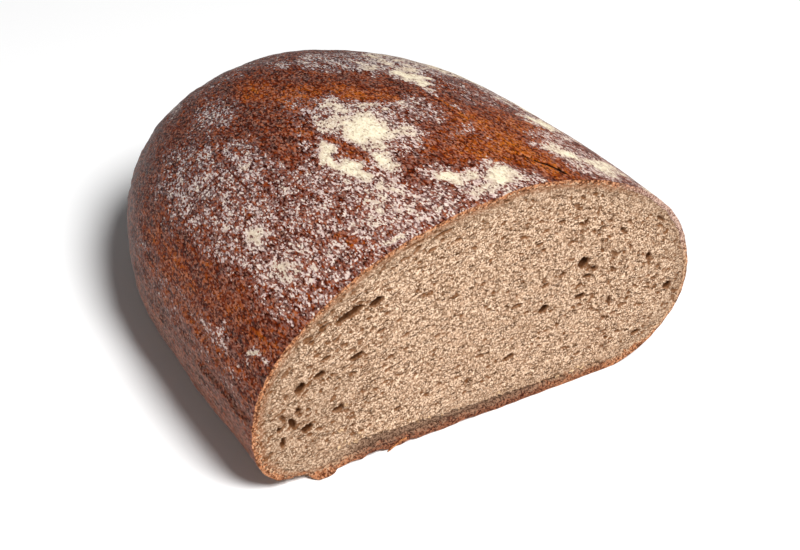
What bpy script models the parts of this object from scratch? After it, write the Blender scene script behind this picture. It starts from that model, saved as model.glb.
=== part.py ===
"""Half of a free-standing rye loaf, cut straight across, resting on its flat base.

Metres, +Z up. The origin is in the middle of the base. The cut face looks along -Y,
the rounded end of the loaf points along +Y, and X runs across the cut face.
"""

import math
from collections import namedtuple

import bmesh
import bpy
from mathutils import Matrix, Vector, noise

# The loaf's overall size
WIDTH = 0.180
HEIGHT = 0.091
LENGTH = 0.172

# The outline of the cut face
WIDEST_HEIGHT = 0.0275
CROWN_SHIFT = 0.0047
BASE_LEFT = 0.065
BASE_RIGHT = 0.058
TUCK_POWER_LEFT = 2.1
TUCK_POWER_RIGHT = 1.7

# How the loaf closes towards its rounded end
PLAN_POWER = 2.65
PROFILE_POWER = 3.0
END_DRIFT = -0.003
BASE_STOPS_BEFORE_END = 0.026
BASE_PLAN_POWER = 4.0
BASE_PLAN_END = 0.93
BASE_TIP_SHARE = 0.15

# Unevenness of the oven-sprung crust
SWELL_HEIGHT = 0.0011
SWELL_SPAN = 0.045
RIDGE_HEIGHT = 0.0005
RIDGE_SPAN = 0.011
RIDGE_STRETCH = 5.0
BASE_STAYS_FLAT_TO = 0.003
SWELL_FULL_FROM = 0.014

# The crumb's low relief on the cut face
CRUMB_RELIEF = 0.0005
CRUMB_SPAN = 0.007

# The ledge where the crumb stands forward of the dense layer on the bottom crust
LEDGE_FROM_X = -0.060
LEDGE_TO_X = 0.054
LEDGE_HEIGHT_LEFT = 0.0092
LEDGE_HEIGHT_RIGHT = 0.0045
LEDGE_DEPTH = 0.0011
LEDGE_RUN = 0.020
LEDGE_WAVE = 0.0007
LEDGE_PIECES = 38

# The front edge of the bottom crust, broken unevenly by the knife
TORN_FROM_X = -0.081
TORN_TO_X = 0.063
TORN_HEIGHT_LEFT = 0.0014
TORN_HEIGHT_RIGHT = 0.0003
TORN_SPAN = 0.006
TORN_SLOPE = 1.6
TORN_PIECES = 72
CHIP_BEND = 0.0011
CUTTER_MARGIN = 0.002

Chip = namedtuple("Chip", "from_x to_x lift")

# Where whole chips are missing from the bottom crust's front edge
CHIPS = (
    Chip(-0.0800, -0.0682, 0.0036),
    Chip(-0.0462, -0.0392, 0.0012),
    Chip(-0.0305, -0.0262, 0.0008),
    Chip(-0.0080, -0.0020, 0.0007),
)

# How finely the surface is faceted
DOME_STEPS = 46
TUCK_STEPS = 8
BASE_STEPS = 14
LENGTH_STEPS = 34
LENGTH_CROWDING = 1.8
EDGE_RINGS = (0.0014, 0.0040)
FACE_RINGS = (0.986, 0.95, 0.88, 0.78, 0.67, 0.55, 0.42, 0.29, 0.15)
FACE_CENTRE_HEIGHT = 0.040
PORE_FINENESS = 2

FACE_Y = -LENGTH / 2

Pore = namedtuple("Pore", "x z wide high tilt")
Crack = namedtuple("Crack", "points opening depth")

# The gas holes that stand out on the cut face: place, size, and lean in degrees
PORES = (
    Pore(-0.0548, 0.0626, 0.0110, 0.0034, 21),
    Pore(-0.0452, 0.0642, 0.0058, 0.0036, 20),
    Pore(-0.0515, 0.0449, 0.0056, 0.0030, 8),
    Pore(-0.0652, 0.0425, 0.0046, 0.0030, 18),
    Pore(-0.0719, 0.0396, 0.0046, 0.0038, 46),
    Pore(-0.0575, 0.0258, 0.0052, 0.0027, 7),
    Pore(-0.0690, 0.0221, 0.0048, 0.0036, 0),
    Pore(-0.0744, 0.0262, 0.0062, 0.0026, -64),
    Pore(-0.0727, 0.0306, 0.0030, 0.0024, 10),
    Pore(-0.0792, 0.0254, 0.0026, 0.0024, 0),
    Pore(-0.0779, 0.0195, 0.0050, 0.0022, -88),
    Pore(-0.0340, 0.0167, 0.0034, 0.0020, 4),
    Pore(0.0393, 0.0523, 0.0054, 0.0047, -7),
    Pore(0.0448, 0.0481, 0.0030, 0.0024, -25),
    Pore(0.0240, 0.0377, 0.0050, 0.0036, 6),
    Pore(0.0813, 0.0291, 0.0046, 0.0034, 3),
    Pore(0.0400, 0.0378, 0.0056, 0.0026, -7),
    Pore(0.0381, 0.0690, 0.0040, 0.0030, -78),
    Pore(0.0553, 0.0608, 0.0044, 0.0028, -37),
    Pore(0.0722, 0.0606, 0.0066, 0.0024, -39),
    Pore(0.0535, 0.0453, 0.0050, 0.0018, -42),
    Pore(0.0696, 0.0455, 0.0036, 0.0030, -66),
    Pore(0.0110, 0.0216, 0.0056, 0.0022, 9),
    Pore(0.0696, 0.0120, 0.0046, 0.0022, 4),
)
PORE_DEPTH_SHARE = 0.55
PORE_WARP = 0.22

# Splits in the cut face, as points across and up
FACE_CRACKS = (
    Crack(((-0.0380, 0.0812), (-0.0330, 0.0824), (-0.0285, 0.0830), (-0.0238, 0.0836)), 0.0008, 0.0016),
    Crack(((-0.0262, 0.0816), (-0.0215, 0.0826), (-0.0175, 0.0830)), 0.0010, 0.0012),
    Crack(((0.0536, 0.0432), (0.0563, 0.0386), (0.0535, 0.0361), (0.0504, 0.0306)), 0.0006, 0.0012),
    Crack(((-0.0394, 0.0004), (-0.0370, 0.0010), (-0.0330, 0.0022)), 0.0008, 0.0022),
)

# Splits in the crust on top, as points across and along the loaf
CRUST_CRACKS = (
    Crack(((0.0228, -0.0647), (0.0257, -0.0692), (0.0280, -0.0735), (0.0302, -0.0789)), 0.0011, 0.0016),
    Crack(((0.0168, -0.0602), (0.0187, -0.0618), (0.0208, -0.0634)), 0.0008, 0.0012),
)
CRACK_ABOVE = 0.0003
CRACK_PIECES = 3

# Colours, in linear light
CRUST_COLOUR = (0.16, 0.048, 0.016, 1.0)
CRUMB_COLOUR = (0.48, 0.33, 0.20, 1.0)


def clear_scene():
    for old in list(bpy.data.objects):
        bpy.data.objects.remove(old, do_unlink=True)


def smooth_step(low, high, value):
    share = min(1.0, max(0.0, (value - low) / (high - low)))
    return share * share * (3.0 - 2.0 * share)


def closing(share, power):
    """How wide a superellipse still is at this share of its length."""
    return max(0.0, 1.0 - share**power) ** (1.0 / power)


def dome_points(width_share, height_share):
    """The arch of one section, from its widest point on the right to that on the left."""
    points = []
    for step in range(DOME_STEPS + 1):
        angle = math.pi * step / DOME_STEPS
        across = WIDTH / 2 * math.cos(angle) + CROWN_SHIFT * math.sin(angle) ** 2
        up = (HEIGHT - WIDEST_HEIGHT) * math.sin(angle)
        points.append((across * width_share, WIDEST_HEIGHT + up * height_share))
    return points


def tuck_points(side, base, power, width_share, base_height):
    """The curve under one side, from just below the widest point to just before the base."""
    points = []
    for step in range(1, TUCK_STEPS):
        angle = math.pi / 2 * step / TUCK_STEPS
        out = math.cos(angle) ** (2.0 / power)
        down = math.sin(angle) ** (2.0 / power)
        across = side * (base + (WIDTH / 2 - base) * out) * width_share
        height = WIDEST_HEIGHT - (WIDEST_HEIGHT - base_height) * down
        points.append((across, height))
    return points


def base_points(width_share, base_height):
    points = []
    for step in range(BASE_STEPS + 1):
        across = -BASE_LEFT + (BASE_LEFT + BASE_RIGHT) * step / BASE_STEPS
        points.append((across * width_share, base_height))
    return points


def base_height_at(share):
    """Zero along the flat base, then rising to the widest line at the rounded end."""
    flat_share = 1.0 - BASE_STOPS_BEFORE_END / LENGTH
    if share <= flat_share:
        return 0.0
    run = min(1.0, (share - flat_share) / (1.0 - flat_share))
    return WIDEST_HEIGHT * (1.0 - math.sqrt(1.0 - run * run))


def base_width_share(share):
    """How much of the base's width is left, so that the base is rounded in plan like the loaf."""
    left = closing(min(1.0, share / BASE_PLAN_END), BASE_PLAN_POWER)
    return BASE_TIP_SHARE + (1.0 - BASE_TIP_SHARE) * left


def section(share):
    """The closed outline of the loaf at this share of its length, as points in the loaf's frame."""
    wide = closing(share, PLAN_POWER)
    high = closing(share, PROFILE_POWER)
    base_share = base_width_share(share)
    base_height = base_height_at(share)
    left = tuck_points(-1, BASE_LEFT * base_share, TUCK_POWER_LEFT, wide, base_height)
    right = tuck_points(1, BASE_RIGHT * base_share, TUCK_POWER_RIGHT, wide, base_height)
    base = base_points(wide * base_share, base_height)
    outline = dome_points(wide, high) + left + base + right[::-1]
    drift = END_DRIFT * share * share
    y = FACE_Y + LENGTH * share
    return [Vector((x + drift, y, z)) for x, z in outline]


def length_shares():
    """Where the sections stand: close together at the cut edge and towards the rounded end."""
    shares = [0.0] + [ring / LENGTH for ring in EDGE_RINGS]
    for step in range(1, LENGTH_STEPS):
        shares.append(1.0 - (1.0 - step / LENGTH_STEPS) ** LENGTH_CROWDING)
    return shares


def swell(point):
    """How far the crust stands out at a point, in soft lumps and in ridges along the loaf."""
    lump = noise.noise(point / SWELL_SPAN)
    stretched = Vector((point.x, point.y / RIDGE_STRETCH, point.z)) / RIDGE_SPAN
    ridge = noise.noise(stretched + Vector((7.0, 3.0, 1.0)))
    above_base = smooth_step(BASE_STAYS_FLAT_TO, SWELL_FULL_FROM, point.z)
    return (SWELL_HEIGHT * lump + RIDGE_HEIGHT * ridge) * above_base


def add_skin(mesh):
    """Adds the crust as rings of quads, closed at the rounded end, and returns the rings."""
    rings = []
    for share in length_shares():
        rings.append([mesh.verts.new(point) for point in section(share)])
    for near, far in zip(rings, rings[1:]):
        for i in range(len(near)):
            j = (i + 1) % len(near)
            mesh.faces.new((near[j], near[i], far[i], far[j]))
    tip = mesh.verts.new((END_DRIFT, FACE_Y + LENGTH, WIDEST_HEIGHT))
    last = rings[-1]
    for i in range(len(last)):
        mesh.faces.new((last[(i + 1) % len(last)], last[i], tip))
    return rings


def roughen_skin(mesh, cut_edge):
    """Moves each point of the crust along its normal, and keeps the cut edge in the cut plane."""
    mesh.normal_update()
    moves = {vert: vert.normal * swell(vert.co) for vert in mesh.verts}
    for vert, move in moves.items():
        vert.co += move
    for vert in cut_edge:
        vert.co.y = FACE_Y


def add_cut_face(mesh, cut_edge):
    """Fills the cut end with rings that shrink towards its middle, with the crumb's low relief."""
    middle = Vector((CROWN_SHIFT / 2, FACE_Y, FACE_CENTRE_HEIGHT))
    outer = cut_edge
    for scale in FACE_RINGS:
        inner = []
        for vert in cut_edge:
            point = middle + (vert.co - middle) * scale
            rise = noise.noise(point / CRUMB_SPAN)
            point.y = FACE_Y + CRUMB_RELIEF * (0.5 + 0.5 * rise)
            inner.append(mesh.verts.new(point))
        for i in range(len(outer)):
            j = (i + 1) % len(outer)
            mesh.faces.new((outer[i], outer[j], inner[j], inner[i]))
        outer = inner
    hub = mesh.verts.new(middle + Vector((0.0, CRUMB_RELIEF / 2, 0.0)))
    for i in range(len(outer)):
        mesh.faces.new((outer[i], outer[(i + 1) % len(outer)], hub))


def add_cutter(name, shape, holder):
    """Keeps a finished cutter, in the crumb's colour, out of sight with the others."""
    bmesh.ops.recalc_face_normals(shape, faces=shape.faces)
    mesh = bpy.data.meshes.new(name)
    shape.to_mesh(mesh)
    shape.free()
    mesh.materials.append(bpy.data.materials["rye_crumb"])
    cutter = bpy.data.objects.new(name, mesh)
    cutter.hide_render = True
    cutter.display_type = "WIRE"
    holder.objects.link(cutter)


def pore_cutter(name, pore, holder):
    """A lumpy egg, half sunk in the cut face, that leaves one gas hole."""
    shape = bmesh.new()
    bmesh.ops.create_icosphere(shape, subdivisions=PORE_FINENESS, radius=1.0)
    depth = PORE_DEPTH_SHARE * (pore.wide + pore.high) / 2
    size = Matrix.Diagonal((pore.wide / 2, depth, pore.high / 2, 1.0))
    lean = Matrix.Rotation(-math.radians(pore.tilt), 4, "Y")
    place = Vector((pore.x, FACE_Y + CRUMB_RELIEF / 2, pore.z))
    for vert in shape.verts:
        lump = noise.noise(vert.co * 1.3 + place / CRUMB_SPAN)
        vert.co = Matrix.Translation(place) @ lean @ size @ (vert.co * (1.0 + PORE_WARP * lump))
    add_cutter(name, shape, holder)


def strip_cutter(name, rings, holder):
    """A long cutter through triangular rings, closed at both ends."""
    shape = bmesh.new()
    loops = [[shape.verts.new(point) for point in ring] for ring in rings]
    for near, far in zip(loops, loops[1:]):
        for i in range(3):
            j = (i + 1) % 3
            shape.faces.new((near[i], near[j], far[j], far[i]))
    shape.faces.new(loops[0])
    shape.faces.new(loops[-1])
    add_cutter(name, shape, holder)


def mixed(start, end, share):
    return start + (end - start) * share


def ledge_rings():
    """A wedge under the crumb's lower edge, deepest along that edge and gone at the bottom crust."""
    rings = []
    front = FACE_Y - LEDGE_DEPTH
    for step in range(LEDGE_PIECES + 1):
        share = step / LEDGE_PIECES
        x = mixed(LEDGE_FROM_X, LEDGE_TO_X, share)
        wave = LEDGE_WAVE * noise.noise(Vector((x / TORN_SPAN, 4.0, 0.0)))
        top = mixed(LEDGE_HEIGHT_LEFT, LEDGE_HEIGHT_RIGHT, share) + wave
        deep = FACE_Y + LEDGE_DEPTH * math.sqrt(math.sin(math.pi * share))
        rings.append(((x, front, top), (x, deep, top), (x, front, top - LEDGE_RUN)))
    return rings


def torn_lift(x, share):
    """How far the bottom crust's front edge is broken away upwards at this place across."""
    lift = mixed(TORN_HEIGHT_LEFT, TORN_HEIGHT_RIGHT, share)
    lift *= 0.5 + 0.5 * noise.noise(Vector((x / TORN_SPAN, 0.0, 0.0)))
    for chip in CHIPS:
        begun = smooth_step(chip.from_x - CHIP_BEND, chip.from_x + CHIP_BEND, x)
        ended = smooth_step(chip.to_x - CHIP_BEND, chip.to_x + CHIP_BEND, x)
        lift += chip.lift * (begun - ended)
    return lift


def torn_rings():
    """A wedge along the base's front edge, sloping back and down from the height of the break."""
    rings = []
    front = FACE_Y - CUTTER_MARGIN
    for step in range(TORN_PIECES + 1):
        share = step / TORN_PIECES
        x = mixed(TORN_FROM_X, TORN_TO_X, share)
        lift = torn_lift(x, share)
        top = lift + CUTTER_MARGIN / TORN_SLOPE
        back = FACE_Y + TORN_SLOPE * (lift + CUTTER_MARGIN)
        rings.append(((x, front, -CUTTER_MARGIN), (x, front, top), (x, back, -CUTTER_MARGIN)))
    return rings


def skin_height(x, y):
    """The height of the crust's arch over a point of the base."""
    arch = section((y - FACE_Y) / LENGTH)[: DOME_STEPS + 1]
    for right, left in zip(arch, arch[1:]):
        if left.x <= x <= right.x:
            return mixed(right.z, left.z, (right.x - x) / (right.x - left.x))
    return WIDEST_HEIGHT


def fine_path(points):
    """The points of a crack's line with others set evenly between them."""
    path = [Vector(points[0])]
    for start, end in zip(points, points[1:]):
        for step in range(1, CRACK_PIECES + 1):
            path.append(mixed(Vector(start), Vector(end), step / CRACK_PIECES))
    return path


def crack_rings(path, inward, crack):
    """Rings that are open at the surface, sharp at the bottom and narrower at both ends."""
    rings = []
    for i, point in enumerate(path):
        ahead = path[min(i + 1, len(path) - 1)] - path[max(i - 1, 0)]
        side = ahead.cross(inward).normalized()
        fullness = 0.25 + 0.75 * math.sin(math.pi * i / (len(path) - 1))
        half = side * (crack.opening / 2 * fullness)
        top = point - inward * CRACK_ABOVE
        rings.append((top + half, top - half, point + inward * (crack.depth * fullness)))
    return rings


def add_cracks(holder):
    for number, crack in enumerate(FACE_CRACKS, start=1):
        flat = fine_path([(x, FACE_Y + CRUMB_RELIEF / 2, z) for x, z in crack.points])
        rings = crack_rings(flat, Vector((0.0, 1.0, 0.0)), crack)
        strip_cutter(f"face_crack_cutter_{number}", rings, holder)
    for number, crack in enumerate(CRUST_CRACKS, start=1):
        raised = fine_path([(x, y, skin_height(x, y)) for x, y in crack.points])
        rings = crack_rings(raised, Vector((0.0, 0.0, -1.0)), crack)
        strip_cutter(f"crust_crack_cutter_{number}", rings, holder)


def carve(loaf, holder):
    """Cuts the gas holes, the cracks, the ledge and the broken edge into the loaf."""
    cut = loaf.modifiers.new("cuts", "BOOLEAN")
    cut.operation = "DIFFERENCE"
    cut.solver = "EXACT"
    cut.operand_type = "COLLECTION"
    cut.collection = holder
    cut.material_mode = "TRANSFER"


def matt_material(name, colour, roughness):
    material = bpy.data.materials.new(name)
    material.use_nodes = True
    shader = material.node_tree.nodes["Principled BSDF"]
    shader.inputs["Base Color"].default_value = colour
    shader.inputs["Roughness"].default_value = roughness
    shader.inputs["Metallic"].default_value = 0.0
    return material


def paint(mesh):
    """Gives the skin the crust's finish and the cut face the crumb's."""
    mesh.materials.append(matt_material("rye_crust", CRUST_COLOUR, 0.7))
    mesh.materials.append(matt_material("rye_crumb", CRUMB_COLOUR, 0.9))
    for polygon in mesh.polygons:
        faces_front = polygon.normal.y < -0.8
        at_front = polygon.center.y < FACE_Y + 2.0 * CRUMB_RELIEF
        polygon.material_index = 1 if faces_front and at_front else 0


def make_loaf():
    """The whole half loaf as one closed body, before anything is cut out of it."""
    shape = bmesh.new()
    cut_edge = add_skin(shape)[0]
    roughen_skin(shape, cut_edge)
    add_cut_face(shape, cut_edge)
    mesh = bpy.data.meshes.new("rye_loaf")
    shape.to_mesh(mesh)
    shape.free()
    paint(mesh)
    mesh.shade_smooth()
    mesh.set_sharp_from_angle(angle=math.radians(40))
    loaf = bpy.data.objects.new("rye_loaf", mesh)
    bpy.context.scene.collection.objects.link(loaf)
    return loaf


def main():
    clear_scene()
    loaf = make_loaf()
    holder = bpy.data.collections.new("cutters")
    bpy.context.scene.collection.children.link(holder)
    for number, pore in enumerate(PORES, start=1):
        pore_cutter(f"pore_cutter_{number}", pore, holder)
    strip_cutter("ledge_cutter", ledge_rings(), holder)
    strip_cutter("torn_edge_cutter", torn_rings(), holder)
    add_cracks(holder)
    carve(loaf, holder)


main()
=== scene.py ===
"""Half of a floured rye loaf, cut straight across, as it looks on a pale table."""
import math
import random
from collections import namedtuple

import bmesh
import bpy
import numpy as np
from mathutils import Matrix, Vector, noise


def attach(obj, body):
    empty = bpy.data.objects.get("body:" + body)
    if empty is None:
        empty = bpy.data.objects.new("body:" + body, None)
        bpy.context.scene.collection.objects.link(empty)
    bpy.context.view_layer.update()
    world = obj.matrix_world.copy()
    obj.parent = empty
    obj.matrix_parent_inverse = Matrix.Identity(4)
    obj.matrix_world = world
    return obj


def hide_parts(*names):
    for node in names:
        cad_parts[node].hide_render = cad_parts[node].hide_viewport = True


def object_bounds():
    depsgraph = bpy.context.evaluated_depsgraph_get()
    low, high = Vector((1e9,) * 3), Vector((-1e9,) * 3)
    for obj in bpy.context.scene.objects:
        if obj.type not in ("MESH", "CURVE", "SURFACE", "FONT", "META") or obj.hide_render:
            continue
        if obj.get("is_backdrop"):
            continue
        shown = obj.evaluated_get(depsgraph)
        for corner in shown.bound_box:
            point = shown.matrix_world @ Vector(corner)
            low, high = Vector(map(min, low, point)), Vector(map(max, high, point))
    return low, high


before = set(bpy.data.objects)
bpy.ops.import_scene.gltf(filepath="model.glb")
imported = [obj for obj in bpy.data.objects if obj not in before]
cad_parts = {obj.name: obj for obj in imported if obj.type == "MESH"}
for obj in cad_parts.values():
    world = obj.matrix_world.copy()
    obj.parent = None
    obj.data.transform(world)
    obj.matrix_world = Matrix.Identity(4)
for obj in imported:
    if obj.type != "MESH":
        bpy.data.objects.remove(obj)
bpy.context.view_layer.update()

# Crust. The skin of a free-standing rye loaf: dough that rose in a floured basket, was turned out
# and baked on the oven's floor. It is hard and slightly glossy where bare. At the cut it shows about
# two millimetres thick over the dome, and up to four and a half as the dense bottom crust.
WIDTH = 0.180
HEIGHT = 0.091
LENGTH = 0.172
WIDEST_HEIGHT = 0.0275
CROWN_SHIFT = 0.0047
BASE_LEFT, BASE_RIGHT = 0.065, 0.058
TUCK_POWER_LEFT, TUCK_POWER_RIGHT = 2.1, 1.7
PLAN_POWER, PROFILE_POWER = 2.65, 3.0
END_DRIFT = -0.003
BASE_STOPS_BEFORE_END = 0.026
BASE_PLAN_POWER, BASE_PLAN_END, BASE_TIP_SHARE = 4.0, 0.93, 0.15
FACE_Y = -LENGTH / 2

SKIN_STEP = 0.00092
SKIN_STEP_AT_END = 0.0014
FINE_LENGTH = 0.115
BASE_STEP = 0.0009
BASE_ROWS = 17
SWEEP_POINTS, PROFILE_POINTS = 4001, 6001
TIP_CROWDING, TIP_CLEARANCE = 2.5, 0.0006
RIGHT_CORNER, LEFT_CORNER = -np.pi / 2, np.pi * 1.5


def smooth_step(low, high, value):
    share = np.clip((value - low) / (high - low), 0.0, 1.0)
    return share * share * (3.0 - 2.0 * share)


def closing(share, power):
    """How wide a superellipse still is at this share of its length."""
    return np.maximum(0.0, 1.0 - share**power) ** (1.0 / power)


def even_steps(path, step):
    """Places along a path of points, an even step apart, as fractional indices into it."""
    run = np.concatenate([[0.0], np.cumsum(np.linalg.norm(np.diff(path, axis=0), axis=1))])
    count = int(round(run[-1] / step))
    return np.interp(np.linspace(0.0, run[-1], count + 1), run, np.arange(len(run)))


def arch_section(angle, share):
    """The outline over the loaf at an angle from the right base corner to the left one.

    Angles from -90 to 0 degrees are the right tuck, 0 to 180 the dome, 180 to 270 the left tuck."""
    wide, high = closing(share, PLAN_POWER), closing(share, PROFILE_POWER)
    base_left = closing(np.minimum(1.0, share / BASE_PLAN_END), BASE_PLAN_POWER)
    base_share = BASE_TIP_SHARE + (1.0 - BASE_TIP_SHARE) * base_left
    flat_end = 1.0 - BASE_STOPS_BEFORE_END / LENGTH
    run = np.clip((share - flat_end) / (1.0 - flat_end), 0.0, 1.0)
    base_height = WIDEST_HEIGHT * (1.0 - np.sqrt(1.0 - run * run))

    dome_x = WIDTH / 2 * np.cos(angle) + CROWN_SHIFT * np.sin(angle) ** 2
    dome_z = WIDEST_HEIGHT + (HEIGHT - WIDEST_HEIGHT) * np.sin(angle) * high
    on_right = angle < 0.0
    down_angle = np.clip(np.where(on_right, -angle, angle - np.pi), 0.0, np.pi / 2)
    power = np.where(on_right, TUCK_POWER_RIGHT, TUCK_POWER_LEFT)
    half_base = np.where(on_right, BASE_RIGHT, BASE_LEFT) * base_share
    out = np.cos(down_angle) ** (2.0 / power)
    down = np.sin(down_angle) ** (2.0 / power)
    side = np.where(on_right, 1.0, -1.0)
    tuck_x = side * (half_base + (WIDTH / 2 - half_base) * out)
    tuck_z = WIDEST_HEIGHT - (WIDEST_HEIGHT - base_height) * down
    on_dome = (angle >= 0.0) & (angle <= np.pi)
    x = np.where(on_dome, dome_x, tuck_x) * wide + END_DRIFT * share**2
    z = np.where(on_dome, dome_z, tuck_z)
    return x, z


# Columns round the arch and rows along the loaf, evenly spaced on its surface.
sweep = np.linspace(RIGHT_CORNER, LEFT_CORNER, SWEEP_POINTS)
arch_x, arch_z = arch_section(sweep, np.zeros_like(sweep))
places = even_steps(np.stack([arch_x, arch_z], 1), SKIN_STEP)
arch_angles = np.interp(places, np.arange(SWEEP_POINTS), sweep)
arch_angles[0], arch_angles[-1] = RIGHT_CORNER, LEFT_CORNER
fine_share = 1.0 - np.linspace(1.0, 0.0, PROFILE_POINTS) ** TIP_CROWDING
crown = np.stack([LENGTH * fine_share, (HEIGHT - WIDEST_HEIGHT) * closing(fine_share, PROFILE_POWER)], 1)
flank = np.stack([LENGTH * fine_share, WIDTH / 2 * closing(fine_share, PLAN_POWER)], 1)
crown_run = np.cumsum(np.linalg.norm(np.diff((crown + flank) / 2, axis=0, prepend=[[0, 0]])[1:], axis=1))
crown_run = np.concatenate([[0.0], crown_run])
fine_rows = np.arange(0.0, FINE_LENGTH, SKIN_STEP)
far_rows = np.arange(FINE_LENGTH, crown_run[-1] - TIP_CLEARANCE, SKIN_STEP_AT_END)
row_shares = np.interp(np.concatenate([fine_rows, far_rows]), crown_run, fine_share)

angle_grid, share_grid = np.meshgrid(arch_angles, row_shares)
skin_x, skin_z = arch_section(angle_grid, share_grid)
skin_y = FACE_Y + LENGTH * share_grid
arc_at_cut = np.concatenate([[0.0], np.cumsum(np.hypot(np.diff(skin_x[0]), np.diff(skin_z[0])))])
crown_column = int(np.argmax(skin_z[0]))
arc_from_crown = arc_at_cut - arc_at_cut[crown_column]


def noise_field(x, y, z, span, offset=0.0):
    """Blender's noise at each point, for lumps about one span across, from about -1 to 1."""
    flat = zip((x / span + offset).ravel(), (y / span).ravel(), (z / span).ravel())
    return np.array([noise.noise(point) for point in flat]).reshape(np.shape(x))


def surface_normals(x, y, z):
    points = np.stack([x, y, z], -1)
    normals = np.cross(np.gradient(points, axis=0), np.gradient(points, axis=1))
    return normals / np.maximum(np.linalg.norm(normals, axis=-1, keepdims=True), 1e-12)


# Low lumps of the oven spring, the same as in the solid, then finer wrinkles along the loaf, which
# are deepest low on the flanks. Each has a height and a span.
LUMP_HEIGHT, LUMP_SPAN = 0.0011, 0.045
RIDGE_HEIGHT, RIDGE_SPAN = 0.0005, 0.011
WRINKLE_HEIGHT, WRINKLE_SPAN = 0.00022, 0.0045
FINE_WRINKLE_HEIGHT, FINE_WRINKLE_SPAN = 0.00012, 0.0019
FLANK_WRINKLE_HEIGHT, FLANK_WRINKLE_SPAN = 0.00055, 0.0034
outward = surface_normals(skin_x, skin_y, skin_z)
if outward[len(row_shares) // 3, crown_column, 2] < 0.0:
    outward = -outward
above_base = smooth_step(0.003, 0.014, skin_z)
lumps = LUMP_HEIGHT * noise_field(skin_x, skin_y, skin_z, LUMP_SPAN)
moved = (skin_x + 0.077, skin_y / 5 + 0.033, skin_z + 0.011)
ridges = RIDGE_HEIGHT * noise_field(*moved, RIDGE_SPAN)
wrinkles = WRINKLE_HEIGHT * noise_field(skin_x, skin_y / 3, skin_z, WRINKLE_SPAN)
wrinkles += FINE_WRINKLE_HEIGHT * noise_field(skin_x, skin_y / 1.5, skin_z, FINE_WRINKLE_SPAN)
low_down = FLANK_WRINKLE_HEIGHT * smooth_step(0.062, 0.034, skin_z)
wrinkles += low_down * noise_field(skin_x, skin_y / 4.0, skin_z, FLANK_WRINKLE_SPAN, 9.0)
push = (lumps + ridges + wrinkles) * above_base

# The sides that lay against the basket's rim are folded lengthwise. Arc is metres left of the
# crown, start and end are metres back from the cut.
Fold = namedtuple("Fold", "arc start end depth width lean")
FOLDS = (
    Fold(0.1065, 0.000, 0.034, 0.0006, 0.0011, 0.06),
    Fold(0.1130, 0.020, 0.060, 0.0005, 0.0010, -0.10),
    Fold(0.1195, 0.000, 0.046, 0.0008, 0.0013, 0.02),
    Fold(0.1010, 0.012, 0.050, 0.0004, 0.0010, 0.12),
    Fold(-0.1060, 0.010, 0.070, 0.0006, 0.0012, -0.04),
    Fold(-0.1170, 0.000, 0.090, 0.0006, 0.0013, 0.03),
)
WANDER, WANDER_SPAN = 0.0012, 0.014
arc_grid = np.broadcast_to(arc_from_crown, skin_x.shape)
along_grid = skin_y - FACE_Y
for fold in FOLDS:
    own_line = arc_grid * 0 + fold.arc * 90
    wander = WANDER * noise_field(along_grid, arc_grid * 0, own_line, WANDER_SPAN)
    off = arc_grid - fold.arc - fold.lean * (along_grid - fold.start) - wander
    present = smooth_step(fold.start - 0.004, fold.start + 0.006, along_grid)
    present *= 1.0 - smooth_step(fold.end - 0.010, fold.end, along_grid)
    push -= fold.depth * np.exp(-((off / fold.width) ** 2)) * present
    push += 0.6 * fold.depth * np.exp(-(((off - 1.8 * fold.width) / (1.3 * fold.width)) ** 2)) * present


# Two short black tears near the cut on the top, and a hairline across the floured left slope. Each
# is a line of arc and along, which are metres left of the crown and back from the cut.
TEARS = (
    ((-0.0175, 0.0215), (-0.0198, 0.0182)),
    ((-0.0207, 0.0150), (-0.0230, 0.0120), (-0.0250, 0.0080), (-0.0253, 0.0055)),
)
HAIRLINE = ((0.0908, 0.0775), (0.0788, 0.0820), (0.0655, 0.0815), (0.0647, 0.0640))
TEAR_HALF_WIDTHS = (0.00055, 0.00105)
TEAR_DEPTH = 0.0006
HAIRLINE_HALF_WIDTH = 0.00042
HAIRLINE_DEPTH = 0.0002


def distance_to_line(u, v, corners):
    nearest = np.full(u.shape, np.inf)
    for (u0, v0), (u1, v1) in zip(corners, corners[1:]):
        along_u, along_v = u1 - u0, v1 - v0
        share = (u - u0) * along_u + (v - v0) * along_v
        share = np.clip(share / (along_u**2 + along_v**2), 0.0, 1.0)
        nearest = np.minimum(nearest, np.hypot(u - u0 - share * along_u, v - v0 - share * along_v))
    return nearest


for line in TEARS:
    away = distance_to_line(arc_grid, along_grid, line)
    push -= TEAR_DEPTH * (1.0 - smooth_step(0.0004, 0.0013, away))
away = distance_to_line(arc_grid, along_grid, HAIRLINE)
push -= HAIRLINE_DEPTH * (1.0 - smooth_step(0.0003, 0.0011, away))

skin = np.stack([skin_x, skin_y, skin_z], -1) + outward * push[..., None]
skin[0, :, 1] = FACE_Y
skin[..., 2] = np.where(skin_z <= 1e-6, 0.0, skin[..., 2])

# Where the knife broke the front edge of the bottom crust. The edge stands a little off the table
# all along, most at the left, and each chip lifts a stretch of it further.
Chip = namedtuple("Chip", "from_x to_x lift")
CHIPS = (
    Chip(-0.0800, -0.0682, 0.0036),
    Chip(-0.0462, -0.0392, 0.0012),
    Chip(-0.0305, -0.0262, 0.0008),
    Chip(-0.0080, -0.0020, 0.0007),
)
CHIP_SOFTNESS = 0.0011
TORN_FROM, TORN_LENGTH = -0.081, 0.144
TORN_SLOPE = 1.6
TORN_REACH = 0.014


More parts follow.
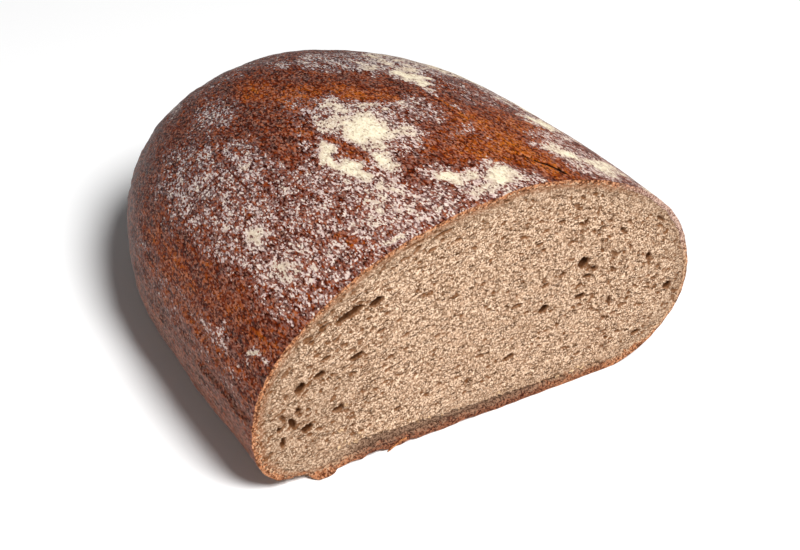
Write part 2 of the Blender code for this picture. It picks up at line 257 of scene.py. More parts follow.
def torn_lift(x):
    share = np.clip((x - TORN_FROM) / TORN_LENGTH, 0.0, 1.0)
    coarse = 0.5 + 0.5 * noise_field(x, x * 0, x * 0, 0.006)
    fine = noise_field(x, x * 0 + 2.0, x * 0, 0.0021)
    lift = (0.0014 - 0.0011 * share) * coarse + (0.00035 - 0.0002 * share) * fine
    for chip in CHIPS:
        begun = smooth_step(chip.from_x - CHIP_SOFTNESS, chip.from_x + CHIP_SOFTNESS, x)
        ended = smooth_step(chip.to_x - CHIP_SOFTNESS, chip.to_x + CHIP_SOFTNESS, x)
        lift += chip.lift * (begun - ended)
    inside = smooth_step(-0.083, -0.079, x) * (1.0 - smooth_step(0.060, 0.068, x))
    return np.maximum(lift, 0.00005) * inside


lift_at_skin = torn_lift(skin[0, :, 0])
set_back = TORN_SLOPE * np.maximum(0.0, lift_at_skin - skin[0, :, 2])
behind = np.maximum(0.0, skin[..., 1] - FACE_Y)
squeeze = np.maximum(0.0, 1.0 - behind / TORN_REACH)
skin[..., 1] += set_back[None, :] * squeeze

base_count = int(round((BASE_LEFT + BASE_RIGHT) / BASE_STEP))
base_share = np.arange(1, base_count) / base_count
front_base = []
for row in range(BASE_ROWS):
    left_corner, right_corner = skin[row, -1], skin[row, 0]
    base_x = left_corner[0] + (right_corner[0] - left_corner[0]) * base_share
    rest_y = FACE_Y + LENGTH * row_shares[row]
    back_off = TORN_SLOPE * torn_lift(base_x) * max(0.0, 1.0 - (rest_y - FACE_Y) / TORN_REACH)
    front_base.append(np.stack([base_x, rest_y + back_off, np.zeros_like(base_x)], 1))

# The cut edge of the crust: a thin rim over the dome, thick and flaky along the bottom, where one
# flap near the left leans out over the table.
RIM_RINGS = 9
RIM_WIDTH, RIM_WIDER_AT_LEFT = 0.0018, 0.0009
BOTTOM_BAND_X = (-0.067, -0.056, -0.046, -0.040, -0.028)
BOTTOM_BAND_WIDTH = (0.0026, 0.0031, 0.0040, 0.0045, 0.0037)
FLAP_REACH = 0.0022
FLAKE_RELIEF, FLAKE_RELIEF_MORE_WHERE_WIDE = 0.00008, 0.00042
rim_outer = np.concatenate([skin[0], front_base[0]])
rim_start = rim_outer.copy()
rim_start[:, 1] = FACE_Y
rim_lift = torn_lift(rim_start[:, 0])
broken = rim_start[:, 2] < rim_lift
rim_start[:, 2] = np.where(broken, rim_lift, rim_start[:, 2])
flat_outline = rim_outer[:, [0, 2]]
ahead = np.roll(flat_outline, -1, 0) - np.roll(flat_outline, 1, 0)
ahead /= np.linalg.norm(ahead, axis=1, keepdims=True)
inward = np.stack([-ahead[:, 1], ahead[:, 0]], 1)
if inward[crown_column, 1] > 0.0:
    inward = -inward
ring_x, ring_z = flat_outline[:, 0], flat_outline[:, 1]
bottom_band = np.interp(ring_x, BOTTOM_BAND_X, BOTTOM_BAND_WIDTH)
wider = RIM_WIDER_AT_LEFT * smooth_step(-0.050, -0.080, ring_x)
rim_width = RIM_WIDTH + wider * smooth_step(0.062, 0.03, ring_z)
rim_width = rim_width + (bottom_band - rim_width) * smooth_step(0.009, 0.0012, ring_z)
rim_width *= 1.0 + 0.26 * noise_field(ring_x, ring_z, ring_x * 0, 0.0035)
rim_width *= 1.0 + 0.24 * noise_field(ring_x, ring_z, ring_x * 0 + 5.0, 0.0016)
rim_inner = rim_start.copy()
rim_inner[:, 0] = flat_outline[:, 0] + inward[:, 0] * rim_width
rim_inner[:, 2] = flat_outline[:, 1] + inward[:, 1] * rim_width
flap = FLAP_REACH * smooth_step(-0.0685, -0.0645, ring_x) * smooth_step(-0.0565, -0.0600, ring_x)
flap *= smooth_step(0.006, 0.001, ring_z)
flakiness = FLAKE_RELIEF + FLAKE_RELIEF_MORE_WHERE_WIDE * smooth_step(0.002, 0.004, rim_width)
rim_rings = []
for ring in range(RIM_RINGS):
    across = ring / (RIM_RINGS - 1)
    points = rim_start * (1.0 - across) + rim_inner * across
    flaky = flakiness * min(1.0, 0.2 + 0.4 * ring)
    grain = noise_field(points[:, 0] / 2.2, points[:, 1] + across, points[:, 2], 0.0011)
    ledges = noise_field(points[:, 0] / 4.0, points[:, 1] * 0, points[:, 2], 0.0009, 3.0)
    points[:, 1] = FACE_Y + flaky * (0.7 * grain + 0.8 * ledges + 0.4)
    points[:, 1] -= flap * (1.0 - across) ** 2
    rim_rings.append(points)

# The recess behind the rim, which the crumb fills.
RECESS = 0.0045
wall = rim_inner.copy()
wall[:, 1] = FACE_Y + RECESS
recess_centre = (0.002, FACE_Y + RECESS, 0.040)


def add_mesh(name, points, faces):
    """A smooth-shaded object from points and faces, with its faces turned outward."""
    mesh = bpy.data.meshes.new(name)
    mesh.from_pydata([tuple(point) for point in points], [], faces)
    shape = bmesh.new()
    shape.from_mesh(mesh)
    bmesh.ops.recalc_face_normals(shape, faces=shape.faces)
    shape.to_mesh(mesh)
    shape.free()
    mesh.shade_smooth()
    piece = bpy.data.objects.new(name, mesh)
    bpy.context.scene.collection.objects.link(piece)
    return piece


rows, columns = skin.shape[:2]
base_points = base_count - 1
points = [skin.reshape(-1, 3)]
faces = []
for row in range(rows - 1):
    start = row * columns
    for column in range(columns - 1):
        a = start + column
        faces.append((a, a + 1, a + 1 + columns, a + columns))
base_start = rows * columns
points += front_base


def base_ring(row):
    """Indices across the base in one row, from the left corner to the right corner."""
    first = base_start + row * base_points
    return [row * columns + columns - 1] + list(range(first, first + base_points)) + [row * columns]


for row in range(BASE_ROWS - 1):
    near, far = base_ring(row), base_ring(row + 1)
    for i in range(len(near) - 1):
        faces.append((near[i], near[i + 1], far[i + 1], far[i]))
joint = base_ring(BASE_ROWS - 1)
faces.append(tuple(joint) + (BASE_ROWS * columns, BASE_ROWS * columns + columns - 1))
for row in range(BASE_ROWS, rows - 1):
    a, b = row * columns + columns - 1, row * columns
    faces.append((a, b, b + columns, a + columns))
tip = base_start + BASE_ROWS * base_points
points.append(np.array([[END_DRIFT, FACE_Y + LENGTH, WIDEST_HEIGHT]]))
last = list(range((rows - 1) * columns, rows * columns))
for i, a in enumerate(last):
    faces.append((a, last[(i + 1) % len(last)], tip))

ring_size = columns + base_points
outer_ring = list(range(columns)) + base_ring(0)[1:-1]
next_index = tip + 1
for ring_points in rim_rings + [wall]:
    inner_ring = list(range(next_index, next_index + ring_size))
    points.append(ring_points)
    for i in range(ring_size):
        j = (i + 1) % ring_size
        faces.append((outer_ring[i], outer_ring[j], inner_ring[j], inner_ring[i]))
    outer_ring = inner_ring
    next_index += ring_size
points.append(np.array([recess_centre]))
for i in range(ring_size):
    faces.append((outer_ring[i], outer_ring[(i + 1) % ring_size], next_index))
points = np.concatenate(points)
crust = add_mesh("crust", points, faces)

# The knife left a sharp edge all round the cut, so nothing is smoothed across it.
cut_edge = set(range(columns)) | set(base_ring(0)) | set(range(tip + 1, tip + 1 + ring_size))
for edge in crust.data.edges:
    if edge.vertices[0] in cut_edge and edge.vertices[1] in cut_edge:
        edge.use_edge_sharp = True

# Flour, as it was dusted in the basket: dense cakes, thin haze and bare streaks, and the patches
# that baked orange. Each is an ellipse on the unrolled skin. Arc and along are millimetres left of
# the crown and back from the cut, and lean is in degrees.
Patch = namedtuple("Patch", "arc along half_arc half_along lean amount")
FLOUR_CAKES = (
    Patch(18, 59, 9.0, 13.5, 8, 1.05),
    Patch(11, 50, 5.5, 4.5, 0, 0.84),
    Patch(22, 48, 3.5, 3.5, 0, 0.95),
    Patch(27, 69, 5.0, 4.5, -20, 0.76),
    Patch(24.5, 38, 4.6, 8.5, -20, 0.95),
    Patch(23, 65, 4.2, 8.0, 0, 0.95),
    Patch(35, 40, 4.5, 10.5, 0, 1.0),
    Patch(37.2, 55, 3.3, 13.0, -4, 1.0),
    Patch(19, 79, 4.2, 8.5, -10, 0.77),
    Patch(10.5, 70, 4.5, 3.5, 30, 0.76),
    Patch(-20.5, 78, 3.2, 9.5, -5, 0.97),
    Patch(-20, 88, 5.6, 8.0, -12, 1.0),
    Patch(-26, 96, 6.0, 6.5, -18, 0.86),
    Patch(-13, 111, 4.0, 4.0, 0, 0.66),
    Patch(-12, 103, 9.0, 9.0, 30, 0.70),
    Patch(-2, 11.5, 7.5, 9.0, 0, 0.94),
    Patch(10.5, 18.5, 5.0, 9.0, 32, 0.97),
    Patch(5, 7, 7.0, 5.0, 0, 0.72),
    Patch(-37, 20, 6.4, 10.0, 22, 0.92),
    Patch(-48, 11, 8.0, 8.0, 0, 0.90),
    Patch(-57, 14, 6.0, 7.0, 0, 0.84),
    Patch(-32, 30.5, 3.2, 3.0, 30, 0.74),
    Patch(-28, 29, 2.0, 2.0, 0, 0.62),
    Patch(-48, 48, 5.5, 8.5, -5, 1.0),
    Patch(-60, 68, 5.0, 14.0, -10, 0.92),
    Patch(-48, 110, 6.0, 16.0, 10, 0.88),
    Patch(-56, 96, 5.0, 18.0, 4, 0.95),
    Patch(-34, 118, 4.0, 7.0, 0, 0.76),
    Patch(74, 23, 5.0, 7.5, 10, 0.68),
    Patch(75, 44, 4.6, 8.0, -8, 0.70),
    Patch(68, 14, 3.0, 4.0, 0, 0.62),
    Patch(66, 47, 1.6, 1.6, 0, 0.64),
    Patch(74, 52, 2.0, 1.6, 0, 0.64),
    Patch(69, 86, 3.0, 4.0, 0, 0.56),
    Patch(69, 78, 2.0, 3.0, 0, 0.56),
    Patch(85, 8, 2.0, 6.0, 0, 0.62),
    Patch(101, 9.4, 1.4, 4.2, 52, 0.84),
    Patch(98.4, 3.8, 1.1, 2.6, 60, 0.76),
    Patch(45, 4, 8.0, 4.5, 0, 0.76),
    Patch(33, 22, 5.0, 11.0, -6, 0.62),
    Patch(38, 8, 5.0, 5.0, 0, 0.58),
    Patch(28, 12, 5.0, 6.0, 0, 0.46),
    Patch(62, 5, 6.0, 4.0, 0, 0.50),
    Patch(111, 49, 2.0, 3.0, 0, 0.52),
    Patch(110, 96, 2.0, 3.5, 0, 0.52),
    Patch(-72, 92, 6.0, 16.0, 10, 0.80),
    Patch(-84, 40, 5.0, 10.0, -10, 0.78),
    Patch(-74, 10, 6.0, 9.0, 0, 0.78),
    Patch(-66, 2, 9.0, 3.5, 0, 0.80),
    Patch(-92, 96, 4.0, 9.0, 15, 0.66),
    Patch(20, 165, 9.0, 6.0, 20, 0.70),
    Patch(-30, 150, 7.0, 9.0, -30, 0.80),
    Patch(70, 150, 8.0, 8.0, 20, 0.66),
)
FLOUR_HAZE = (
    Patch(72, 40, 17.0, 56.0, 0, 0.46),
    Patch(79, 88, 16.0, 32.0, 0, 0.46),
    Patch(88, 62, 6.0, 28.0, 0, 0.40),
    Patch(50, 18, 18.0, 28.0, 0, 0.50),
    Patch(45, 44, 8.0, 22.0, 0, 0.45),
    Patch(59, 80, 6.5, 17.0, 0, 0.49),
    Patch(53, 68, 5.0, 14.0, 0, 0.42),
    Patch(33, 22, 11.0, 17.0, 0, 0.58),
    Patch(26, 8, 16.0, 12.0, 0, 0.47),
    Patch(9, 47, 9.0, 9.0, 0, 0.60),
    Patch(0, 66, 14.0, 5.0, 14, 0.54),
    Patch(27, 70, 10.0, 9.0, 0, 0.62),
    Patch(20, 58, 20.0, 24.0, 0, 0.54),
    Patch(-6, 56, 9.0, 9.0, 0, 0.46),
    Patch(22, 78, 10.0, 12.0, 20, 0.50),
    Patch(30, 90, 7.0, 12.0, -20, 0.36),
    Patch(56, 116, 13.0, 17.0, 0, 0.44),
    Patch(-44, 18, 20.0, 22.0, 0, 0.50),
    Patch(-47, 37, 5.0, 8.0, 0, 0.56),
    Patch(-18, 57, 5.0, 6.0, 0, 0.42),
    Patch(56, 50, 5.0, 14.0, 0, 0.50),
    Patch(-56, 62, 12.0, 50.0, 0, 0.56),
    Patch(-36, 72, 12.0, 20.0, 0, 0.34),
    Patch(-30, 108, 18.0, 20.0, 15, 0.64),
    Patch(-48, 108, 12.0, 24.0, 0, 0.72),
    Patch(-36, 90, 5.0, 8.0, 0, 0.50),
    Patch(13, 128, 6.0, 6.0, 0, 0.45),
    Patch(-6, 118, 16.0, 16.0, 20, 0.49),
    Patch(-15, 33, 3.0, 7.0, 15, 0.58),
    Patch(-9, 42, 10.0, 3.5, 25, 0.54),
    Patch(106, 30, 2.6, 14.0, 10, 0.50),
    Patch(112, 50, 10.0, 70.0, 0, 0.24),
    Patch(96, 50, 8.0, 70.0, 0, 0.20),
    Patch(20, 150, 60.0, 22.0, 0, 0.32),
    Patch(-80, 70, 24.0, 80.0, 0, 0.50),
    Patch(-60, 135, 30.0, 30.0, 0, 0.50),
    Patch(2, 4, 24.0, 8.0, 0, 0.54),
)
BARE_STREAKS = (
    Patch(30.2, 52, 2.6, 14.0, 8, 1.0),
    Patch(33, 70, 2.4, 6.0, 10, 0.90),
    Patch(52.5, 14, 1.6, 8.0, 8, 0.90),
    Patch(44, 34, 1.0, 4.0, 15, 0.70),
    Patch(-20, 18, 8.0, 22.0, 8, 1.0),
    Patch(-53, 26, 5.0, 5.0, 0, 0.70),
    Patch(-7, 31, 10.0, 10.0, 25, 0.92),
    Patch(8, 34, 8.0, 6.0, 25, 0.70),
    Patch(-29, 47, 12.0, 12.0, 0, 0.95),
    Patch(-15, 56, 2.2, 12.0, 0, 0.85),
    Patch(3, 80, 7.0, 8.0, 32, 1.0),
    Patch(14, 95, 8.0, 13.0, 38, 1.0),
    Patch(32, 114, 11.0, 13.0, 30, 0.95),
    Patch(-5, 86, 8.0, 16.0, 28, 0.92),
    Patch(45, 84, 3.7, 24.0, -4, 0.60),
    Patch(96, 30, 6.0, 42.0, -3, 0.80),
    Patch(102, 76, 6.0, 30.0, 0, 0.60),
)
ORANGE_BAKE = (
    Patch(31, 52, 3.0, 14.0, 8, 0.60),
    Patch(35, 72, 3.0, 6.0, 0, 0.50),
    Patch(53, 13, 2.2, 9.0, 8, 0.70),
    Patch(-19, 33, 6.0, 32.0, 0, 1.10),
    Patch(5, 33, 6.0, 6.0, 0, 0.60),
    Patch(-22, 16, 9.0, 20.0, 10, 1.08),
    Patch(-8, 25, 9.0, 12.0, 20, 1.12),
    Patch(-8, 42, 5.0, 10.0, 0, 0.85),
    # The next two, small and strong, are bright orange spots on a ridge of the top: partly orange crust,
    # partly a painted highlight.
    Patch(-16.5, 50.5, 1.6, 4.0, 0, 1.7),
    Patch(-16.5, 63, 1.4, 4.0, 0, 1.4),
    Patch(-35, 41, 12.0, 11.0, 0, 0.85),
    Patch(1, 74, 5.0, 4.5, 15, 0.85),
    Patch(8.5, 84, 7.0, 13.0, 28, 0.97),
    Patch(26, 96, 9.0, 12.0, 36, 0.86),
    Patch(34, 113, 8.0, 11.0, 20, 0.82),
    Patch(96, 30, 4.5, 38.0, -3, 0.48),
    Patch(103, 66, 6.0, 30.0, 0, 0.62),
    Patch(110, 50, 6.0, 50.0, 0, 0.55),
    Patch(74, 9, 10.0, 7.0, 0, 0.35),
    Patch(-75, 30, 9.0, 40.0, 0, 0.50),
    Patch(-96, 80, 9.0, 40.0, 0, 0.50),
)


def patch_field(patches, arc, along, soft):
    """The strongest of the patches at each point, fading out over a share of each one's size."""
    total = np.zeros_like(arc)
    for patch in patches:
        lean = math.radians(patch.lean)
        across = arc - patch.arc
        forward = along - patch.along
        u = (across * math.cos(lean) - forward * math.sin(lean)) / patch.half_arc
        v = (across * math.sin(lean) + forward * math.cos(lean)) / patch.half_along
        reach = np.sqrt(u * u + v * v)
        total = np.maximum(total, patch.amount * (1.0 - smooth_step(1.0 - soft, 1.0 + soft, reach)))
    return total


arc_mm, along_mm = arc_grid * 1000.0, along_grid * 1000.0
flat_zero = arc_mm * 0.0
ragged_arc = arc_mm + 4.0 * noise_field(arc_mm, along_mm / 1.6, flat_zero, 8.0)
ragged_arc += 2.4 * noise_field(arc_mm, along_mm / 1.6, flat_zero, 2.9, 7.0)
ragged_along = along_mm + 5.0 * noise_field(arc_mm, along_mm, flat_zero + 4.0, 7.0)
ragged_along += 3.0 * noise_field(arc_mm, along_mm, flat_zero + 9.0, 2.4)
cakes = patch_field(FLOUR_CAKES, ragged_arc, ragged_along, 0.85)
haze = patch_field(FLOUR_HAZE, ragged_arc, ragged_along, 0.55)
bare = patch_field(BARE_STREAKS, ragged_arc, ragged_along, 0.45)
orange = patch_field(ORANGE_BAKE, ragged_arc, ragged_along, 0.70)
streaky = noise_field(arc_mm, along_mm / 3.0, flat_zero, 3.4, 11.0)
cloudy = noise_field(arc_mm, along_mm / 1.3, flat_zero, 8.5, 3.0)
patchy = noise_field(arc_mm, along_mm / 1.3, flat_zero, 1.9, 21.0)
haze = np.maximum(haze, 0.16) * (0.95 + 0.42 * streaky + 0.22 * cloudy + 0.46 * patchy)
cakes = cakes * (0.98 + 0.22 * patchy + 0.20 * streaky)
flour = np.maximum(cakes, haze * (1.0 - 0.85 * bare))
flour = np.clip(flour, 0.0, 1.0)
greyness = smooth_step(20.0, 120.0, along_mm)
fine_streaks = noise_field(arc_mm, along_mm / 4.5, flat_zero, 1.7, 31.0)
dust = np.clip(0.40 - 0.50 * orange + 0.34 * cloudy + 0.62 * fine_streaks, 0.0, 1.0)


def add_values(piece, name, values):
    """Stores one number for each point of a piece, for its material to read."""
    stored = piece.data.attributes.new(name, "FLOAT", "POINT")
    stored.data.foreach_set("value", np.ascontiguousarray(values, dtype=np.float32))


def for_all_points(on_skin, elsewhere):
    values = np.full(len(points), elsewhere)
    values[: on_skin.size] = on_skin.ravel()
    return values


rim_first = tip + 1


def for_rim_points(on_outline, growing=0.0):
    """Values for each ring of the rim, with a part that grows from nought to one across it."""
    values = np.zeros(len(points))
    for ring in range(RIM_RINGS + 1):
        start = rim_first + ring * ring_size
        values[start : start + ring_size] = growing * (ring / (RIM_RINGS - 1)) + on_outline
    return values


rim_mask = np.zeros(len(points))
rim_mask[rim_first:] = 1.0
ring_bottom = smooth_step(0.008, 0.003, ring_z) * (0.32 + 0.68 * smooth_step(-0.057, -0.044, ring_x))
ring_bottom *= 1.0 - 0.5 * smooth_step(0.018, 0.042, ring_x) - 0.5 * smooth_step(0.052, 0.064, ring_x)
ring_crumbly = 0.6 * smooth_step(0.068, 0.084, ring_x)
ring_pale = smooth_step(0.044, 0.066, ring_x) * smooth_step(0.038, 0.054, ring_z)
under = np.zeros(len(points))
under[base_start:tip] = 1.0
under[: rows * columns] = (1.0 - smooth_step(0.0005, 0.006, skin_z)).ravel()
CRUST_VALUES = {
    "flour": for_all_points(flour, 0.0),
    "orange": for_all_points(orange, 0.3),
    "greyness": for_all_points(greyness, 0.5),
    "dust": for_all_points(dust, 0.3),
    "flank": for_all_points(smooth_step(0.050, 0.012, skin_z), 0.0),
    "arc": for_all_points(arc_grid, 1.0),
    "along": for_all_points(along_grid, 1.0),
    "rim": rim_mask,
    "rim_across": for_rim_points(ring_crumbly, 1.0),
    "rim_pale": for_rim_points(ring_pale),
    "bottom": for_rim_points(ring_bottom),
    "under": under,
}
for name, values in CRUST_VALUES.items():
    add_values(crust, name, values)


def colour(code):
    """The linear colour of an sRGB hex value."""
    parts = [int(code[i : i + 2], 16) / 255.0 for i in (1, 3, 5)]
    linear = [part / 12.92 if part <= 0.04045 else ((part + 0.055) / 1.055) ** 2.4 for part in parts]
    return (*linear, 1.0)


def add_node(tree, kind, fields=None, sockets=None, output=0):
    """Adds a node and returns one of its outputs. A socket is given a value or another node's output."""
    node = tree.nodes.new("ShaderNode" + kind)
    for field, value in (fields or {}).items():
        setattr(node, field, value)
    for key, value in (sockets or {}).items():
        if isinstance(value, bpy.types.NodeSocket):
            tree.links.new(value, node.inputs[key])
        else:
            node.inputs[key].default_value = value
    return node.outputs[output] if len(node.outputs) else node


MIX = {"data_type": "RGBA"}
SOFT = {"interpolation_type": "SMOOTHSTEP"}
TIMES = {"operation": "MULTIPLY"}
PLUS = {"operation": "ADD"}
MINUS = {"operation": "SUBTRACT"}
TIMES_PLUS = {"operation": "MULTIPLY_ADD"}
SIZE = {"operation": "ABSOLUTE"}
LARGER = {"operation": "MAXIMUM"}


def new_material(name):
    """An empty material and its node tree."""
    material = bpy.data.materials.new(name)
    material.use_nodes = True
    material.node_tree.nodes.clear()
    return material, material.node_tree


def lay_over(tree, base, layers, fields=SOFT):
    """Lays colours over a base in turn, each as far as its source has gone from low to high."""
    for source, low, high, most, code in layers:
        share = add_node(tree, "MapRange", fields, {0: source, 1: low, 2: high, 4: most})
        base = add_node(tree, "Mix", MIX, {0: share, 6: base, 7: colour(code)}, 2)
    return base


def finish_material(piece, material, look):
    """Ends a material in a surface that isn't metal, and gives it to a piece."""
    tree = material.node_tree
    surface = add_node(tree, "BsdfPrincipled", {}, {"Metallic": 0.0, **look})
    add_node(tree, "OutputMaterial", {}, {"Surface": surface})
    piece.data.materials.append(material)


# Baked rye crust, browned in the oven under a dusting of rye flour. Bare, it is a dark glazed red
# brown, orange brown where it spread late, and lilac grey under rubbed-in flour. The flour itself is
# matt cream: caked where it was thick and single specks where it was thin. Real grains of flour are
# 0.1 to 0.2 mm, too fine to show, so specks are drawn as cells of about half a millimetre. Each
# scale below is 1000 over the pattern's size in millimetres.
crust_skin, tree = new_material("floured_rye_crust")
where = add_node(tree, "TexCoord", output="Object")
long_ways = add_node(tree, "Mapping", {}, {"Vector": where, "Scale": (1.0, 0.22, 1.0)})
a_bit_long = add_node(tree, "Mapping", {}, {"Vector": where, "Scale": (1.0, 0.6, 1.0)})
shift = {"Vector": where, "Location": (0.31, 0.17, 0.09), "Scale": (1.0, 0.6, 1.0)}
apart = add_node(tree, "Mapping", {}, shift)
streak_pattern = {"Vector": long_ways, "Scale": 1000 / 2.6, "Detail": 4.0, "Roughness": 0.65}
streaks = add_node(tree, "TexNoise", {}, streak_pattern)
mottle = add_node(tree, "TexNoise", {}, {"Vector": a_bit_long, "Scale": 1000 / 1.3, "Detail": 1.0})
clump_pattern = {"Vector": a_bit_long, "Scale": 1000 / 1.5, "Detail": 3.0, "Roughness": 0.7}
clumps = add_node(tree, "TexNoise", {}, clump_pattern)
speck = add_node(tree, "TexVoronoi", {}, {"Vector": a_bit_long, "Scale": 1000 / 0.56}, "Color")
fleck = add_node(tree, "TexVoronoi", {}, {"Vector": apart, "Scale": 1000 / 0.52}, "Color")
stored = {}
for name in CRUST_VALUES:
    stored[name] = add_node(tree, "Attribute", {"attribute_name": name}, output="Fac")

# The bare skin goes from dark to orange brown. Small cells of its own speckle are painted darker
# as shade in tiny hollows and paler as glints, which are painted highlights.
bake = add_node(tree, "MapRange", {}, {0: streaks, 1: 0.30, 2: 0.70, 3: -0.14, 4: 0.34})
bake = add_node(tree, "Math", TIMES_PLUS, {0: stored["orange"], 1: 0.46, 2: bake})
spotted = add_node(tree, "MapRange", {}, {0: mottle, 1: 0.35, 2: 0.65, 3: -0.10, 4: 0.44})
bake = add_node(tree, "Math", PLUS, {0: bake, 1: spotted})
bakes = (
    (bake, 0.0, 0.36, 1.0, "#6c2509"),
    (bake, 0.36, 0.72, 1.0, "#96430b"),
    (bake, 0.72, 1.15, 1.0, "#c06815"),
)
skin_tone = lay_over(tree, colour("#300a02"), bakes, {})
speckle_with_painted_shade_and_glints = ((fleck, 0.53, 0.22, 0.80, "#240600"), (fleck, 0.55, 0.88, 0.46, "#c69078"))
skin_tone = lay_over(tree, skin_tone, speckle_with_painted_shade_and_glints)

# The flanks are paler, and a thin film of dust lies over the rest.
paler = add_node(tree, "MapRange", SOFT, {0: speck, 1: 0.35, 2: 0.88, 3: 0.06, 4: 0.64})
paler = add_node(tree, "Math", TIMES, {0: stored["flank"], 1: paler})
skin_tone = add_node(tree, "Mix", MIX, {0: paler, 6: skin_tone, 7: colour("#80583c")}, 2)
greyness = stored["greyness"]
film = add_node(tree, "MapRange", SOFT, {0: speck, 1: 0.40, 2: 0.84, 4: 0.82})
film = add_node(tree, "Math", TIMES, {0: stored["dust"], 1: film})
film_tone = add_node(tree, "Mix", MIX, {0: greyness, 6: colour("#865c50"), 7: colour("#6a544e")}, 2)
skin_tone = add_node(tree, "Mix", MIX, {0: film, 6: skin_tone, 7: film_tone}, 2)

# Flour lies wherever the grain rises above a threshold, which is lower where it was dusted thicker.
density = stored["flour"]
grains = add_node(tree, "Math", TIMES, {0: clumps, 1: 0.5})
grains = add_node(tree, "Math", TIMES_PLUS, {0: speck, 1: 0.5, 2: grains})
threshold = add_node(tree, "Math", TIMES_PLUS, {0: density, 1: -0.72, 2: 0.87})
above = add_node(tree, "Math", MINUS, {0: grains, 1: threshold})
veil = add_node(tree, "MapRange", SOFT, {0: above, 1: -0.22, 2: 0.07, 4: 0.72})
veil_tone = add_node(tree, "Mix", MIX, {0: greyness, 6: colour("#956e66"), 7: colour("#766364")}, 2)
skin_tone = add_node(tree, "Mix", MIX, {0: veil, 6: skin_tone, 7: veil_tone}, 2)
floured = add_node(tree, "MapRange", SOFT, {0: above, 1: -0.03, 2: 0.06})
thin_tone = add_node(tree, "Mix", MIX, {0: greyness, 6: colour("#d2b7b0"), 7: colour("#b2a4a5")}, 2)
# Thicker flour is cream. Its grains are partly painted: bright flecks as painted highlights on them, dark
# flecks as painted shade between them.
flour_with_painted_grain_light = (
    (density, 0.45, 0.75, 1.0, "#d2bea6"),
    (density, 0.72, 0.95, 1.0, "#ecdfc0"),
    (fleck, 0.45, 0.90, 0.60, "#f6ebd8"),
    (fleck, 0.40, 0.12, 0.55, "#8f6d62"),
)
flour_tone = lay_over(tree, thin_tone, flour_with_painted_grain_light)
skin_tone = add_node(tree, "Mix", MIX, {0: floured, 6: skin_tone, 7: flour_tone}, 2)

# The tears and the hairline are drawn from their lines, because they are finer than the mesh. They
# are painted near black and dark brown, as painted shade inside the cracks.
wobble = add_node(tree, "MapRange", {}, {0: clumps, 1: 0.3, 2: 0.7, 3: -0.0004, 4: 0.0004})
arc_here = add_node(tree, "Math", PLUS, {0: stored["arc"], 1: wobble})
place = add_node(tree, "CombineXYZ", {}, {0: arc_here, 1: stored["along"]})
lines = [(line, half_width, "#140502", 0.97) for line, half_width in zip(TEARS, TEAR_HALF_WIDTHS)]
lines.append((HAIRLINE, HAIRLINE_HALF_WIDTH, "#4a1a0a", 0.92))
for line, half_width, code, strength in lines:
    for (u0, v0), (u1, v1) in zip(line, line[1:]):
        half_length = math.hypot(u1 - u0, v1 - v0) / 2
        turn = math.atan2(v1 - v0, u1 - u0)
        lie = {"Vector": place, "Location": (u0, v0, 0.0), "Rotation": (0.0, 0.0, turn)}
        local = add_node(tree, "Mapping", {"vector_type": "TEXTURE"}, lie)
        parts = add_node(tree, "SeparateXYZ", {}, {0: local}).node
        beside = add_node(tree, "Math", SIZE, {0: parts.outputs["Y"]})
        past_end = add_node(tree, "Math", MINUS, {0: parts.outputs["X"], 1: half_length})
        past_end = add_node(tree, "Math", SIZE, {0: past_end})
        past_end = add_node(tree, "Math", MINUS, {0: past_end, 1: half_length})
        away = add_node(tree, "Math", LARGER, {0: beside, 1: past_end})
        painted_crack_shade = ((away, half_width, 0.5 * half_width, strength, code),)
        skin_tone = lay_over(tree, skin_tone, painted_crack_shade)

# The cut rim: torn flakes, crumbly towards its inner edge and to the right, dusty over the right
# shoulder, and a darker, greyer band where it is the bottom crust.
RIM_TONES = {
    "torn": ("#5c2f1a", "#bb7f57"),
    "crumbly": ("#6f5039", "#cba585"),
    "dusty": ("#755247", "#c8aa9c"),
    "bottom": ("#3a1a11", "#925f46"),
    "grey": ("#4a2f24", "#937059"),
}
ragged = add_node(tree, "MapRange", {}, {0: mottle, 1: 0.3, 2: 0.7, 3: -0.42, 4: 0.42})
ragged = add_node(tree, "Math", PLUS, {0: stored["rim_across"], 1: ragged})
bitty = add_node(tree, "MapRange", SOFT, {0: fleck, 1: 0.20, 2: 0.80})
tones = {}
for name, (dark, light) in RIM_TONES.items():
    tones[name] = add_node(tree, "Mix", MIX, {0: bitty, 6: colour(dark), 7: colour(light)}, 2)
flakes_and_pits = ((speck, 0.55, 0.90, 0.65, "#dfa781"), (clumps, 0.50, 0.39, 0.85, "#472310"))
rim_tone = lay_over(tree, tones["torn"], flakes_and_pits)
crumbly = add_node(tree, "MapRange", SOFT, {0: ragged, 1: 0.6, 2: 1.05})
rim_tone = add_node(tree, "Mix", MIX, {0: crumbly, 6: rim_tone, 7: tones["crumbly"]}, 2)
pale = add_node(tree, "Math", TIMES, {0: stored["rim_pale"], 1: 0.85})
rim_tone = add_node(tree, "Mix", MIX, {0: pale, 6: rim_tone, 7: tones["dusty"]}, 2)
greyer = add_node(tree, "MapRange", SOFT, {0: ragged, 1: 0.40, 2: 1.0})
bottom_tone = add_node(tree, "Mix", MIX, {0: greyer, 6: tones["bottom"], 7: tones["grey"]}, 2)
rim_tone = add_node(tree, "Mix", MIX, {0: stored["bottom"], 6: rim_tone, 7: bottom_tone}, 2)
skin_tone = add_node(tree, "Mix", MIX, {0: stored["rim"], 6: skin_tone, 7: rim_tone}, 2)

# The underside, which no picture shows, is plain baked bottom crust.
blotches = add_node(tree, "MapRange", SOFT, {0: grains, 1: 0.3, 2: 0.7})
under_tone = add_node(tree, "Mix", MIX, {0: blotches, 6: colour("#6b4430"), 7: colour("#a9896c")}, 2)
skin_tone = add_node(tree, "Mix", MIX, {0: stored["under"], 6: skin_tone, 7: under_tone}, 2)

